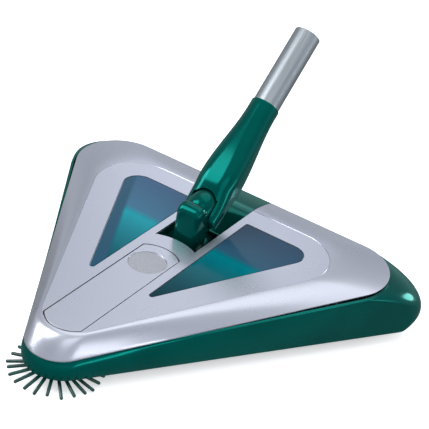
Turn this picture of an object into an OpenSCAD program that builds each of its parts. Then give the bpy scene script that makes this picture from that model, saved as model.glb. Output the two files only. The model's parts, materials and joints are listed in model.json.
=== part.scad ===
// Push-along carpet sweeper with a three-cornered head, a corner brush and a
// swivelling handle foot. Millimetres, +Z up, the floor at z = 0, the corner
// brush towards -Y. Places along the body are given as d, the distance ahead
// of the cover's back edge, so y = back_y - d.

/* [Body] */
// Side of the cover's outline, measured between its sharp corners
outline_w = 374; // [345:1:450]
// Corner radius of the cover at the brush
tip_r = 28; // [22:1:32]
// Corner radius of the cover at the two back corners
back_r = 40.7; // [32:0.1:46]
// Height of the cover's edge at the sharp front corner
edge_tip_z = 25.3; // [23:0.1:28]
// Height of the cover's edge along the back
edge_back_z = 59.3; // [57:0.1:62]
// Height of the housing's underside above the floor
base_z = 10; // [9.5:0.1:11]
// Wall of the green housing
base_wall = 2.5; // [2:0.1:3.5]
// Thickness of the floor of the green housing
floor_t = 2.5; // [2:0.1:3]
// Thickness of the silver cover
cover_t = 2.2; // [1.8:0.1:2.6]
// Thickness of the sole plate
sole_t = 2; // [1.5:0.1:2.5]

/* [Raised crown of the cover] */
// How far the crown's sharp front corner lies behind the cover's
crown_tip_inset = 10.7; // [8:0.1:14]
// How far the crown's sharp back corners lie inside the cover's, sideways
crown_side_inset = 48; // [44:0.5:54]
// How far the crown's back edge lies ahead of the cover's
crown_back_inset = 31.4; // [28:0.1:36]
// Height of the crown at its sharp front corner
crown_tip_z = 43.7; // [42:0.1:45]
// Height of the crown along its back edge
crown_back_z = 63.1; // [62.5:0.1:64]
// Corner radius of the crown at the front
crown_tip_r = 27; // [24:0.5:30]
// Corner radius of the crown at the back
crown_back_r = 40; // [34:0.5:44]

/* [Windows] */
// Distance from the middle line to a window's inner edge
window_inner_x = 27; // [25.5:0.1:30]
// Sideways width of silver between a window and the crown's edge
window_band = 28; // [24:0.5:34]
// Distance from the cover's back edge to the windows
window_back_d = 53.5; // [48:0.5:60]
// Radius of a window's outer corner
window_outer_r = 15; // [8:0.5:16]
// Radius of a window's two inner corners
window_inner_r = 2.5; // [2:0.1:4]
// Thickness of a window
pane_t = 1.6; // [1.2:0.1:1.8]
// Width of the ledge that a window sits on
pane_ledge = 2.5; // [2:0.1:3.5]

/* [Push lid] */
// Half of the lid's width
lid_half_w = 18.5; // [17:0.1:19.5]
// Width of the silver bridge between the lid and the handle's channel
bridge_w = 17; // [14:0.5:22]
// How far the lid's rear arc bows out
lid_rear_bow = 7; // [4:0.5:9]
// How far the lid's front arc bows out
lid_front_bow = 9; // [6:0.5:10]
// Distance from the cover's sharp tip to the lid's front
lid_tip_inset = 44.9; // [44:0.1:50]
// Gap all round the lid
lid_gap = 0.6; // [0.5:0.1:0.9]
// Radius of the press dimple
dimple_r = 16; // [12:0.5:17]
// Depth of the press dimple
dimple_depth = 1; // [0.6:0.1:1.2]
// Thickness of the lid
lid_t = 2.6; // [2.2:0.1:3]

/* [Handle foot] */
// Half of the width of the handle's channel in the cover
channel_half_w = 20; // [19:0.5:22]
// Distance from the cover's back edge to the front of the channel
channel_front_d = 118; // [116:0.5:124]
// How far the front of the channel bows backwards
channel_bow = 5; // [2:0.5:7]
// Distance from the cover's back edge to the parting of the rear panel
panel_d = 35; // [30:0.5:42]
// Height of the sunk floor round the handle's foot
tray_z = 48.5; // [47:0.5:50]
// Width of the foot
post_w = 23; // [20:0.5:24]
// Distance from the cover's back edge to the foot's front face
post_front_d = 112; // [110:0.5:113]
// Distance from the cover's back edge to the foot's rear face
post_rear_d = 70; // [68:0.5:73]
// Height of the foot's top
post_top_z = 88; // [85:0.5:90]
// Height of the axis that the foot tilts about
tilt_z = 36; // [35:0.5:38]
// Radius of the tilt pin
tilt_pin_r = 3; // [2.5:0.1:4]
// Tilt of the foot to each side, in degrees
tilt_sweep = 10; // [6:0.5:10]
// Distance from the cover's back edge to the fork's pin
fork_d = 85.4; // [84:0.1:87]
// Height of the fork's pin
fork_z = 74; // [73:0.5:76]
// Radius of the foot's round head
head_r = 19; // [17:0.5:19.5]
// Radius of the fork's pin
fork_pin_r = 4; // [3:0.1:5]

/* [Handle] */
// Lean of the handle back from upright, in degrees
handle_lean = 44.5; // [40:0.5:50]
// Outside diameter of the handle tube
tube_d = 24; // [20:0.5:26]
// Wall of the handle tube
tube_wall = 1; // [0.8:0.1:1.5]
// Distance from the fork's pin to the rim of the socket
socket_len = 107; // [95:1:125]
// Length of tube that stands out of the socket
tube_out = 74; // [50:1:400]
// Length of tube inside the socket
tube_in = 45; // [35:1:50]
// Wall of the socket round the tube
collar_wall = 1; // [0.8:0.1:2]
// Half of the fork's greatest width
fork_half_w = 18; // [17.5:0.1:18.5]
// Half of the fork's greatest depth
fork_half_depth = 16; // [14:0.5:17]
// Gap between the foot's head and the fork, each side
fork_gap = 0.75; // [0.5:0.05:1.2]

/* [Corner brush] */
// Distance from the cover's sharp tip to the brush's axle
brush_setback = 53.9; // [50:0.5:58]
// Radius over the bristle tips
brush_r = 38; // [34:0.5:42]
// Number of bristles
bristle_count = 24; // [16:1:30]
// Thickness of a bristle
bristle_d = 2; // [1.5:0.1:2.4]
// Radius of the brush's hub
brush_hub_r = 13; // [10:0.5:16]
// Droop of the bristles, in degrees
bristle_droop = 9; // [6:0.5:11]

/* [Sweeping roller] */
// Distance from the cover's back edge to the roller's axis
roller_d = 38; // [36:0.5:40]
// Radius over the roller's bristles
roller_r = 19.5; // [18:0.5:20]
// Radius of the roller's core
roller_core_r = 9; // [7:0.5:11]
// Radius of the roller's axle
roller_axle_r = 2.5; // [2:0.1:3]
// Number of bristle rows
tuft_rows = 4; // [2:1:5]
// Number of tufts in a row
tufts_per_row = 20; // [10:1:22]
// Thickness of a tuft
tuft_d = 3.2; // [2:0.1:4]
// Turn of a row from one end of the roller to the other, in degrees
tuft_twist = 180; // [90:10:270]

/* [Wheels] */
// Distance from the cover's back edge to the wheels' axis
wheel_d = 75; // [74:0.5:77]
// Radius of a wheel over its tyre
wheel_r = 17; // [16:0.1:18]
// Width of a wheel
wheel_w = 12; // [9:0.5:13]
// Thickness of a tyre
tyre_t = 3; // [2:0.1:4]
// Radius of a wheel's axle
wheel_axle_r = 2.5; // [2:0.1:3]
// Radius of the driving pulley beside the left wheel
drive_pulley_r = 11; // [9:0.5:12]
// Radius of the roller's pulley
roller_pulley_r = 5.5; // [5:0.5:7]
// Width of the belt
belt_w = 3; // [2:0.1:4]
// Thickness of the belt
belt_t = 1.4; // [1:0.1:2]
// Radius of the small front wheel
front_wheel_r = 8; // [7.5:0.1:9]
// Width of the small front wheel
front_wheel_w = 16; // [10:0.5:20]
// Distance from the brush's axle back to the small front wheel
front_wheel_gap = 52; // [50:0.5:56]

/* [Dust flaps] */
// Distance from the middle line to a flap's hinge
flap_hinge_x = 24; // [23.5:0.1:26]
// Distance from the cover's back edge to the flaps' rear edge
flap_back_d = 98; // [97:0.5:104]
// Sideways distance from a flap's outer edge to the window's outer edge
flap_inset = 12; // [6:0.5:16]
// Thickness of a flap
flap_t = 2; // [1.5:0.1:2.5]
// Radius of a flap's hinge pin
flap_pin_r = 1.2; // [1:0.1:1.4]
// Wall of a dust box
box_wall = 1.5; // [1.2:0.1:2]
// Height of the lip that the roller throws dirt over
box_lip_z = 22; // [18:1:28]

/* [Fits] */
// Running clearance of a shaft in its bore, on the radius
run_fit = 0.05; // [0.02:0.01:0.08]
// Clearance between pieces that only lie beside each other
gap = 0.3; // [0.2:0.05:0.4]

/* [Hidden] */
$fn = 48;

// Colours
silver = [0.78, 0.78, 0.82];
green = [0.0, 0.42, 0.37];
tint = [0.25, 0.45, 0.6, 0.5];
dark = [0.12, 0.14, 0.15];
steel = [0.7, 0.71, 0.73];
alloy = [0.8, 0.82, 0.84];
rubber = [0.08, 0.08, 0.08];

// The body's outline
outline_half = outline_w / 2;
outline_len = outline_w * cos(30);
edge_rise = (edge_back_z - edge_tip_z) / outline_len;
crown_half = outline_half - crown_side_inset;
crown_len = outline_len - crown_tip_inset - crown_back_inset;
crown_rise = (crown_back_z - crown_tip_z) / crown_len;
// Angle between a side of the crown and the middle line
crown_angle = atan(crown_half / crown_len);
crown_z0 = crown_back_z + crown_rise * crown_back_inset;
floor_z = base_z + floor_t;
big = 600;
lap = 1;
// Height at which the cover's pillars meet the housing's bosses
split_z = 22;
// Gap between the cover's lip and the housing's rim
rim_gap = 0.4;
cover_lip = 1.2;
cover_steps = [0, 0.12, 0.3, 0.55, 0.8, 1];
wall_steps = [0, 0.12, 0.25, 0.37, 0.5, 0.65, 0.8, 1];
sole_inset = 4;

// The handle's line, and the row's origin half way between brush and tube end
tube_r = tube_d / 2;
socket_r = tube_r + collar_wall;
tube_end_s = socket_len + tube_out;
rear_reach = tube_end_s * sin(handle_lean) + tube_r * cos(handle_lean) - fork_d;
brush_d = outline_len - brush_setback;
brush_axle_r = 2;
brush_boss_h = 12;
bristle_z = base_z - 2.4;
back_y = (brush_d + brush_r - rear_reach) / 2;

// Windows, lid and channel
window_outer_x = crown_half * (crown_len + crown_back_inset - window_back_d) / crown_len - window_band;
window_tip_d = window_back_d + (window_outer_x - window_inner_x) * crown_len / crown_half;
lid_rear_d = channel_front_d + bridge_w;
lid_front_d = outline_len - lid_tip_inset;
dimple_d = lid_rear_d + lid_rear_bow + dimple_r + 4;
lid_pin_r = 1.5;
lid_pin_d = lid_front_d - lid_front_bow - 1;
lid_pin_z = crown_z(lid_pin_d) - lid_t - 3.5;
lid_ear_x = 9;
lid_ear_w = 4;
bracket_x = lid_half_w + 1;

// Foot, tray and cradle
post_half = post_w / 2;
slot_half = post_half + (tray_z - tilt_z) * tan(tilt_sweep) + 1;
ramp_foot_d = post_rear_d - 3;
ramp_top_d = panel_d + 14;
tray_t = 1.6;
cradle_ear = 5;
cradle_gap = 0.5;
cradle_half = 14;
knuckle_r = 8;

// Roller, wheels and belt
roller_z = roller_r + 0.5;
side_x = function (d) (outline_len - d) * tan(30);
wheel_out_x = side_x(wheel_d) - 26;
wheel_in_x = wheel_out_x - wheel_w;
belt_x = wheel_out_x + 4;
pulley_wall = 1;
pulley_half = belt_w / 2 + gap + pulley_wall;
ear_t = 3;
outer_ear_x = belt_x + pulley_half + 1;
inner_ear_x = wheel_in_x - 1 - ear_t;
roller_half = belt_x - pulley_half - 2;
block_x = belt_x + pulley_half + 1.5;
block_w = 5;
bush_r = roller_axle_r + 2.5;
hub_r = wheel_r - tyre_t;
front_wheel_d = brush_d - front_wheel_gap;
front_axle_r = 1.5;
front_ear_x = front_wheel_w / 2 + 0.8;

// Flaps
flap_z = base_z - sole_t + flap_t / 2;
flap_tip_d = window_tip_d - flap_inset / (crown_half / crown_len);
flap_outer_x = (flap_tip_d - flap_back_d) * crown_half / crown_len + window_inner_x;
flap_knuckle_r = 2.3;
flap_seat = 1.5;
knuckle_len = 10;
lug_w = 3;
box_top_z = 43;
prong_x = flap_hinge_x + 5;
prong_d = lid_rear_d + 13;
prong_w = 3;
prong_bar_z = 44;
spring_seat_z = 38;
spring_r = 6;
spring_wire = 1.2;
spring_turns = 6;
spring_top = crown_z(dimple_d) - lid_t;

// Screws
screw_r = 1.6;
screw_head_r = 3;
screw_head_h = 1.6;
boss_r = 4;
screw_seat = 0.8;
tube_screw_s = socket_len - tube_in / 2;
cover_boss_places = [[0, brush_d - 32], [side_x(20) - 37.5, 20], [-side_x(20) + 37.5, 20],
    [side_x(108) - 13, 108], [-side_x(108) + 13, 108]];
sole_screw_places = [[side_x(200) - 31.5, brush_d - 70], [-side_x(200) + 31.5, brush_d - 70], [60, 78], [-60, 78],
    [100, 10], [-100, 10]];
cradle_screw_places = [[11, 78], [-11, 78], [11, 104], [-11, 104]];

// Height of the cover's edge, and of the crown, at distance d from the back edge
function edge_z(d) = edge_back_z - edge_rise * d;
function crown_z(d) = crown_z0 - crown_rise * d;

// Corner arc from angle a0 to a1
arc_steps = 8;
function arc(cx, cy, r, a0, a1) =
    [for (i = [0 : arc_steps]) let (a = a0 + (a1 - a0) * i / arc_steps) [cx + r * cos(a), cy + r * sin(a)]];

// Rounded triangle with its back edge on y = back_out. Its two front sides stand out
// from the sharp triangle (half, len) by tip_out at the front and by side_out at the back.
function rounded_triangle(half, len, tip_out, side_out, back_out, r_tip, r_back) =
    let (l0 = norm([half, len]),
        n0 = [len / l0, -half / l0],
        p0 = [0, -len] + n0 * tip_out,
        p1 = [half, 0] + n0 * side_out,
        l1 = norm(p1 - p0),
        n = [(p1[1] - p0[1]) / l1, -(p1[0] - p0[0]) / l1],
        c = n * p0,
        a = atan2(n[1], n[0]),
        yb = back_out - r_back,
        xb = (c - r_back - n[1] * yb) / n[0])
    concat(arc(0, (c - r_tip) / n[1], r_tip, -180 - a, a),
        arc(xb, yb, r_back, a, 90),
        arc(-xb, yb, r_back, 90, 180 - a));

// The green wall's section: values at its foot, at its fullest and at the cover's edge
bulge_at = 0.44;
function blend(foot, full, top, t) =
    foot * (t - bulge_at) * (t - 1) / bulge_at
    + full * t * (t - 1) / (bulge_at * (bulge_at - 1))
    + top * t * (t - bulge_at) / (1 - bulge_at);
function wall_ring(t, inset) =
    [for (p = rounded_triangle(outline_half, outline_len,
            blend(-1, 1.3, -3, t) - inset, blend(2.3, 3.5, 6, t) - inset, blend(-2.7, 12, 3, t) - inset,
            max(blend(tip_r, tip_r + 3.5, tip_r, t) - inset, 3),
            max(blend(back_r - 26.4, back_r - 18.7, back_r + 5.5, t) - inset, 3)))
        [p[0], p[1], base_z + t * (edge_z(-p[1]) - cover_lip - rim_gap - base_z)]];

// Rings of the cover: k = 0 at its edge, k = 1 at the crown
function cover_ring(k, inset, drop) =
    let (e = rounded_triangle(outline_half, outline_len, -inset, -inset, -inset, tip_r - inset, back_r - inset),
        c = [for (p = rounded_triangle(crown_half, crown_len, 0, 0, 0, crown_tip_r, crown_back_r))
                [p[0], p[1] - crown_back_inset]])
    [for (i = [0 : len(e) - 1])
        let (p = e[i] * (1 - k) + c[i] * k, ze = edge_z(-e[i][1]), zc = crown_z(-c[i][1]))
        [p[0], p[1], ze + (zc - ze) * sin(90 * k) - drop]];

// Closed skin through a stack of rings, lowest first
module skin(rings) {
    n = len(rings[0]);
    m = len(rings);
    points = [for (ring = rings) for (p = ring) p];
    sides = [for (j = [0 : m - 2]) for (i = [0 : n - 1]) let (k = (i + 1) % n)
        each [[j * n + i, (j + 1) * n + k, j * n + k], [j * n + i, (j + 1) * n + i, (j + 1) * n + k]]];
    polyhedron(points, concat(sides, [[for (i = [0 : n - 1]) i]],
        [[for (i = [n - 1 : -1 : 0]) (m - 1) * n + i]]), convexity = 8);
}

// Children are drawn with y measured from the cover's back edge
module from_back() {
    translate([0, back_y, 0]) children();
}

// Slab under the crown's plane, from the depth top to the depth bottom
module crown_slab(top, bottom) {
    translate([0, 0, crown_z0]) rotate([atan(crown_rise), 0, 0])
        translate([-big / 2, -big, -bottom]) cube([big, big + 100, bottom - top]);
}

// Cylinder along X, from x0 to x1, at distance d and height z
module rod_x(x0, x1, d, z, r) {
    translate([x0, -d, z]) rotate([0, 90, 0]) cylinder(h = x1 - x0, r = r);
}

// Cylinder along Y, from distance d0 forward to d1
module rod_y(d0, d1, x, z, r) {
    translate([x, -d0, z]) rotate([90, 0, 0]) cylinder(h = d1 - d0, r = r);
}

// Box from (x0, d0, z0) to (x1, d1, z1), d forward of the back edge
module box(x0, x1, d0, d1, z0, z1) {
    translate([x0, -d1, z0]) cube([x1 - x0, d1 - d0, z1 - z0]);
}

module at_handle() {
    translate([0, -fork_d, fork_z]) rotate([-handle_lean, 0, 0]) children();
}

// Outline of the right window
module window_outline() {
    tip_reach = window_inner_r / tan(crown_angle / 2);
    outer_reach = window_outer_r / tan((90 - crown_angle) / 2);
    inner_x = window_inner_x + window_inner_r;
    hull() {
        translate([inner_x, tip_reach - window_tip_d]) circle(r = window_inner_r);
        translate([inner_x, -window_back_d - window_inner_r]) circle(r = window_inner_r);
        translate([window_outer_x - outer_reach, -window_back_d - window_outer_r]) circle(r = window_outer_r);
    }
}

// Circle segment: the part of a disc that bows by bow past a chord of half-width half
module bowed_edge(half, bow) {
    r = (half * half + bow * bow) / (2 * bow);
    intersection() {
        translate([0, bow - r]) circle(r = r, $fn = 96);
        translate([-half, -1]) square([2 * half, bow + 2]);
    }
}

// Points of an arc that bows by bow past its chord of half-width half
function bow_arc(half, bow) =
    let (r = (half * half + bow * bow) / (2 * bow), reach = asin(half / r), steps = 16)
    [for (i = [0 : steps]) let (t = reach * (2 * i / steps - 1)) [r * sin(t), r * cos(t) - r + bow]];

// Outline of the lid, shrunk by g on every side
module lid_outline(g) {
    half = lid_half_w - g;
    rear = [for (p = bow_arc(half, lid_rear_bow)) [p[0], p[1] - lid_rear_d - lid_rear_bow - g]];
    front = [for (p = bow_arc(half, lid_front_bow)) [-p[0], g - p[1] - lid_front_d + lid_front_bow]];
    polygon(concat(rear, front));
}

// Outline of the handle's channel in the cover
module channel_outline() {
    difference() {
        translate([-channel_half_w, -(channel_front_d + channel_bow)])
            square([2 * channel_half_w, channel_front_d + channel_bow + 60]);
        translate([0, -(channel_front_d + channel_bow)]) bowed_edge(channel_half_w + lap, channel_bow);
    }
}

// Slot for the roller, grown by g
module roller_slot(g) {
    half = roller_half + 1.5 + g;
    reach = roller_r + 1.5 + g;
    translate([-half, -roller_d - reach]) square([2 * half, 2 * reach]);
}

// Slots for the two wheels, and for the belt on the left, grown by g
module wheel_slots(g) {
    half = wheel_w / 2 + 0.6 + g;
    reach = wheel_r + 1.5 + g;
    for (side = [-1, 1])
        translate([side * (wheel_in_x + wheel_out_x) / 2 - half, -wheel_d - reach]) square([2 * half, 2 * reach]);
    belt_half = pulley_half + 0.6 + g;
    belt_reach = drive_pulley_r + belt_t + 3 + g;
    translate([-belt_x - belt_half, -wheel_d - belt_reach])
        square([2 * belt_half, wheel_d + belt_reach - roller_d + roller_pulley_r + belt_t + 2 + g]);
}

// Opening in the sole plate that the right flap fills, with room for its hinge
module flap_opening() {
    translate([flap_hinge_x - 3, -flap_tip_d - gap]) square([6, flap_tip_d - flap_back_d + 2 * gap]);
    offset(delta = 0.5) polygon([[flap_hinge_x + 3, -flap_back_d], [flap_outer_x, -flap_back_d],
        [window_inner_x + 1, -flap_tip_d], [flap_hinge_x + 3, -flap_tip_d]]);
}

// Openings in the housing's floor
module floor_openings() {
    roller_slot(0);
    wheel_slots(0);
    translate([0, -front_wheel_d])
        square([front_wheel_w + 1.6, 2 * front_wheel_r + 3], center = true);
    for (side = [0, 1]) mirror([side, 0]) flap_mouth(0);
}

// Screw with its head down at z, pointing up
module screw(place, z, length) {
    translate([place[0], -place[1], z]) {
        difference() {
            cylinder(h = screw_head_h, r = screw_head_r);
            for (turn = [0, 90]) rotate(turn) translate([-1.8, -0.35, -lap]) cube([3.6, 0.7, lap + 0.8]);
        }
        cylinder(h = length, r = screw_r);
    }
}

// Sealed solid that the cover's outside bounds, standing on the plane z = foot
module cover_filled(foot) {
    edge = cover_ring(0, 0, 0);
    skin(concat([[for (p = edge) [p[0], p[1], foot]]], [for (k = cover_steps) cover_ring(k, 0, 0)]));
}

// The cover's shell, before anything is cut from it
module cover_shell() {
    difference() {
        skin(concat([cover_ring(0, 0, cover_lip)], [for (k = cover_steps) cover_ring(k, 0, 0)]));
        skin(concat([cover_ring(0, cover_t, cover_lip + lap)],
            [for (k = cover_steps) cover_ring(k, cover_t, cover_t)]));
    }
}

// Green housing: the full wall, the floor and the bearings, bosses and ears on it
module base_housing() {
    color(green) from_back() {
        difference() {
            skin([for (t = wall_steps) wall_ring(t, 0)]);
            difference() {
                skin([for (t = concat([-0.02], wall_steps, [1.06])) wall_ring(t, base_wall)]);
                translate([-big / 2, -big, -1]) cube([big, big + 100, floor_z + 1]);
            }
            translate([0, 0, base_z - lap]) linear_extrude(floor_t + 2 * lap) floor_openings();
            for (place = concat(cover_boss_places, sole_screw_places, cradle_screw_places))
                screw_hole(place, base_z - lap, floor_t + 2 * lap);
            translate([0, -brush_d, base_z - lap]) cylinder(h = floor_t + 2 * lap, r = brush_axle_r);
            for (side = [-1, 1]) rod_y(flap_back_d - 10, flap_tip_d + 10, side * flap_hinge_x, flap_z,
                flap_pin_r + gap);
        }
        for (place = cover_boss_places) boss(place, floor_z, split_z, boss_r);
        for (place = sole_screw_places) boss(place, floor_z, floor_z + 9, boss_r);
        translate([0, -brush_d, floor_z]) difference() {
            cylinder(h = brush_boss_h, r = 5);
            translate([0, 0, -lap]) cylinder(h = brush_boss_h + 2 * lap, r = brush_axle_r);
        }
        for (side = [-1, 1]) {
            bearing(side * block_x, side * (block_x + block_w),
                roller_d, roller_z, floor_z, bush_r + run_fit, 3);
            bearing(side * inner_ear_x, side * (inner_ear_x + ear_t),
                wheel_d, wheel_r, floor_z, wheel_axle_r, 3);
            bearing(side * outer_ear_x, side * (outer_ear_x + ear_t),
                wheel_d, wheel_r, floor_z, wheel_axle_r, 3);
            front_ear(side);
        }
        translate([0, -dimple_d, floor_z]) {
            cylinder(h = spring_seat_z - floor_z, r = spring_r + 2);
            cylinder(h = spring_seat_z - floor_z + 4, r = spring_r - spring_wire - 1);
        }
    }
}

// Round boss on the floor with a hole for a screw
module boss(place, z0, z1, r) {
    translate([place[0], -place[1], z0]) difference() {
        cylinder(h = z1 - z0, r = r);
        translate([0, 0, -lap]) cylinder(h = z1 - z0 + 2 * lap, r = screw_r + run_fit);
    }
}

module screw_hole(place, z, h) {
    translate([place[0], -place[1], z]) cylinder(h = h, r = screw_r + run_fit);
}

// Upright bearing on the plane z = foot, bored along X for a shaft of radius r
module bearing(xa, xb, d, z, foot, r, wall) {
    x0 = min(xa, xb);
    x1 = max(xa, xb);
    difference() {
        union() {
            box(x0, x1, d - r - wall, d + r + wall, foot, z);
            rod_x(x0, x1, d, z, r + wall);
        }
        rod_x(x0 - lap, x1 + lap, d, z, r);
        box(x0 - lap, x1 + lap, d - r - wall - lap, d + r + wall + lap, foot - 2 * (r + wall), foot);
    }
}

// Ear that hangs from the floor and holds an end of the front axle
module front_ear(side) {
    x0 = min(side * front_ear_x, side * (front_ear_x + ear_t));
    difference() {
        union() {
            box(x0, x0 + ear_t, front_wheel_d - 4, front_wheel_d + 4, front_wheel_r, floor_z);
            rod_x(x0, x0 + ear_t, front_wheel_d, front_wheel_r, 4);
        }
        rod_x(x0 - lap, x0 + ear_t + lap, front_wheel_d, front_wheel_r, front_axle_r);
    }
}

module sole_plate() {
    color(dark) from_back() {
        difference() {
            union() {
                translate([0, 0, base_z - sole_t]) linear_extrude(sole_t)
                    polygon(rounded_triangle(outline_half, outline_len, -1 - sole_inset, 2.3 - sole_inset,
                        -2.7 - sole_inset, tip_r - sole_inset, back_r - 26.4 - sole_inset));
                for (side = [-1, 1]) for (d = [flap_back_d - lug_w - gap, flap_tip_d + gap])
                    box(side * flap_hinge_x - 2.6, side * flap_hinge_x + 2.6, d, d + lug_w,
                        flap_z - flap_knuckle_r, base_z);
            }
            translate([0, 0, base_z - sole_t - lap]) linear_extrude(sole_t + 2 * lap) {
                roller_slot(0.5);
                wheel_slots(0.5);
                translate([0, -front_wheel_d])
                    square([2 * (front_ear_x + ear_t + 0.5), 2 * front_wheel_r + 4], center = true);
                translate([0, -brush_d]) circle(r = brush_r + 2);
                for (side = [0, 1]) mirror([side, 0]) flap_opening();
            }
            for (side = [-1, 1]) rod_y(flap_back_d - 10, flap_tip_d + 10, side * flap_hinge_x, flap_z,
                flap_pin_r + run_fit / 2);
            for (place = concat(cover_boss_places, cradle_screw_places))
                translate([place[0], -place[1], base_z - sole_t - lap])
                    cylinder(h = sole_t + 2 * lap, r = screw_head_r + gap);
            for (place = sole_screw_places) {
                screw_hole(place, base_z - sole_t - lap, sole_t + 2 * lap);
                translate([place[0], -place[1], base_z - sole_t - lap])
                    cylinder(h = screw_head_h + lap, r = screw_head_r + gap);
            }
        }
    }
}

// Silver cover, with the brackets of the lid's pin and the pillars for its screws
module top_cover() {
    color(silver) from_back() difference() {
        union() {
            cover_shell();
            intersection() {
                cover_filled(split_z);
                union() {
                    for (place = cover_boss_places) boss(place, split_z, big, boss_r);
                    for (side = [-1, 1])
                        box(min(side * bracket_x, side * (bracket_x + 3)),
                            max(side * bracket_x, side * (bracket_x + 3)),
                            lid_pin_d - 3, lid_pin_d + 3, lid_pin_z - 3, big);
                }
            }
            for (side = [0, 1]) mirror([side, 0, 0]) intersection() {
                linear_extrude(big) offset(delta = 1.5) window_outline();
                crown_slab(0, cover_t + 1);
            }
        }
        linear_extrude(big) lid_outline(0);
        linear_extrude(big) channel_outline();
        for (side = [0, 1]) mirror([side, 0, 0]) {
            linear_extrude(big) offset(delta = -pane_ledge) window_outline();
            intersection() {
                linear_extrude(big) window_outline();
                crown_slab(-5, pane_t);
            }
        }
        rod_x(-bracket_x - 3 - lap, bracket_x + 3 + lap, lid_pin_d, lid_pin_z, lid_pin_r);
    }
}

module window_pane(side) {
    color(tint) from_back() mirror([side, 0, 0]) intersection() {
        linear_extrude(big) offset(delta = -gap / 2) window_outline();
        crown_slab(0, pane_t);
    }
}

module window_left() {
    window_pane(1);
}

module window_right() {
    window_pane(0);
}

// Children on the crown's plane, over the middle of the press dimple
module on_dimple() {
    translate([0, -dimple_d, crown_z(dimple_d)]) rotate([atan(crown_rise), 0, 0]) children();
}

module push_lid() {
    color(silver) from_back() difference() {
        union() {
            intersection() {
                linear_extrude(big) lid_outline(lid_gap);
                crown_slab(0, lid_t);
            }
            for (side = [-1, 1]) intersection() {
                union() {
                    rod_x(side * lid_ear_x - lid_ear_w / 2, side * lid_ear_x + lid_ear_w / 2,
                        lid_pin_d, lid_pin_z, 3);
                    box(side * lid_ear_x - lid_ear_w / 2, side * lid_ear_x + lid_ear_w / 2,
                        lid_pin_d - 3, lid_pin_d + 3, lid_pin_z, big);
                }
                crown_slab(1, 20);
            }
            translate([0, -dimple_d, 0]) intersection() {
                translate([0, 0, spring_top - 4]) cylinder(h = 20, r = spring_r - spring_wire - 1);
                translate([0, dimple_d, 0]) crown_slab(1, 20);
            }
        }
        on_dimple() translate([0, 0, -dimple_depth]) cylinder(h = 10, r = dimple_r);
        rod_x(-big / 4, big / 4, lid_pin_d, lid_pin_z, lid_pin_r + run_fit);
    }
}

module lid_hinge_pin() {
    color(steel) from_back() rod_x(-bracket_x - 3, bracket_x + 3, lid_pin_d, lid_pin_z, lid_pin_r);
}

// Tube of radius wire swept along a helix about Z that stands on z = 0
module helix(r, wire, height, turns) {
    per_turn = 10;
    ring = 6;
    rise = height - 2 * wire;
    n = turns * per_turn;
    points = [for (i = [0 : n]) let (a = 360 * i / per_turn)
        for (j = [0 : ring - 1]) let (b = 360 * j / ring)
            [(r + wire * cos(b)) * cos(a), (r + wire * cos(b)) * sin(a), wire + rise * i / n + wire * sin(b)]];
    sides = [for (i = [0 : n - 1]) for (j = [0 : ring - 1]) let (k = (j + 1) % ring)
        each [[i * ring + j, i * ring + k, (i + 1) * ring + k],
            [i * ring + j, (i + 1) * ring + k, (i + 1) * ring + j]]];
    polyhedron(points, concat(sides, [[for (j = [ring - 1 : -1 : 0]) j]],
        [[for (j = [0 : ring - 1]) n * ring + j]]), convexity = 10);
}

module lid_spring() {
    color(steel) from_back() translate([0, -dimple_d, spring_seat_z])
        helix(spring_r, spring_wire / 2, spring_top - spring_seat_z - gap, spring_turns);
}

// Stem under the lid with a crossbar and a prong over each dust flap
module push_prongs() {
    color(dark) from_back() {
        intersection() {
            box(-3, 3, prong_d - prong_w / 2, prong_d + prong_w / 2, prong_bar_z, big);
            crown_slab(lid_t, 40);
        }
        box(-prong_x - prong_w / 2, prong_x + prong_w / 2, prong_d - prong_w / 2, prong_d + prong_w / 2,
            prong_bar_z, prong_bar_z + 4);
        for (side = [-1, 1])
            box(side * prong_x - prong_w / 2, side * prong_x + prong_w / 2, prong_d - prong_w / 2,
                prong_d + prong_w / 2, base_z + 2, prong_bar_z + 4);
    }
}

// Extrudes an outline of (y, z) points along X, to w on both sides
module along_x(w) {
    translate([-w, 0, 0]) rotate([90, 0, 90]) linear_extrude(2 * w) children();
}

// Green tub round the handle's foot, whose ramp rises to the cover's level
module post_tray() {
    sheet_half = channel_half_w - gap;
    front_d = channel_front_d + channel_bow + gap;
    back_d = panel_d + gap / 2;
    wall_top = cover_t + gap;
    color(green) from_back() difference() {
        union() {
            along_x(sheet_half) polygon([[-back_d, crown_z(back_d)], [-ramp_top_d, crown_z(ramp_top_d)],
                [-ramp_foot_d, tray_z], [-front_d, tray_z], [-front_d, tray_z - tray_t],
                [-ramp_foot_d + 1, tray_z - tray_t], [-ramp_top_d + 1, crown_z(ramp_top_d) - tray_t],
                [-back_d, crown_z(back_d) - tray_t]]);
            difference() {
                along_x(channel_half_w + tray_t) polygon([[-back_d, crown_z(back_d) - wall_top],
                    [-front_d - tray_t, crown_z(front_d + tray_t) - wall_top],
                    [-front_d - tray_t, tray_z - tray_t], [-ramp_foot_d, tray_z - tray_t],
                    [-back_d, crown_z(back_d) - wall_top - 4]]);
                box(-sheet_half, sheet_half, 0, front_d, 0, big);
            }
        }
        box(-slot_half, slot_half, post_rear_d - 1, post_front_d + 1, 0, tray_z + lap);
    }
}

module rear_panel() {
    color(green) from_back() intersection() {
        cover_shell();
        box(-channel_half_w + gap, channel_half_w - gap, -big / 4, panel_d - gap / 2, 0, big);
    }
}

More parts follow.
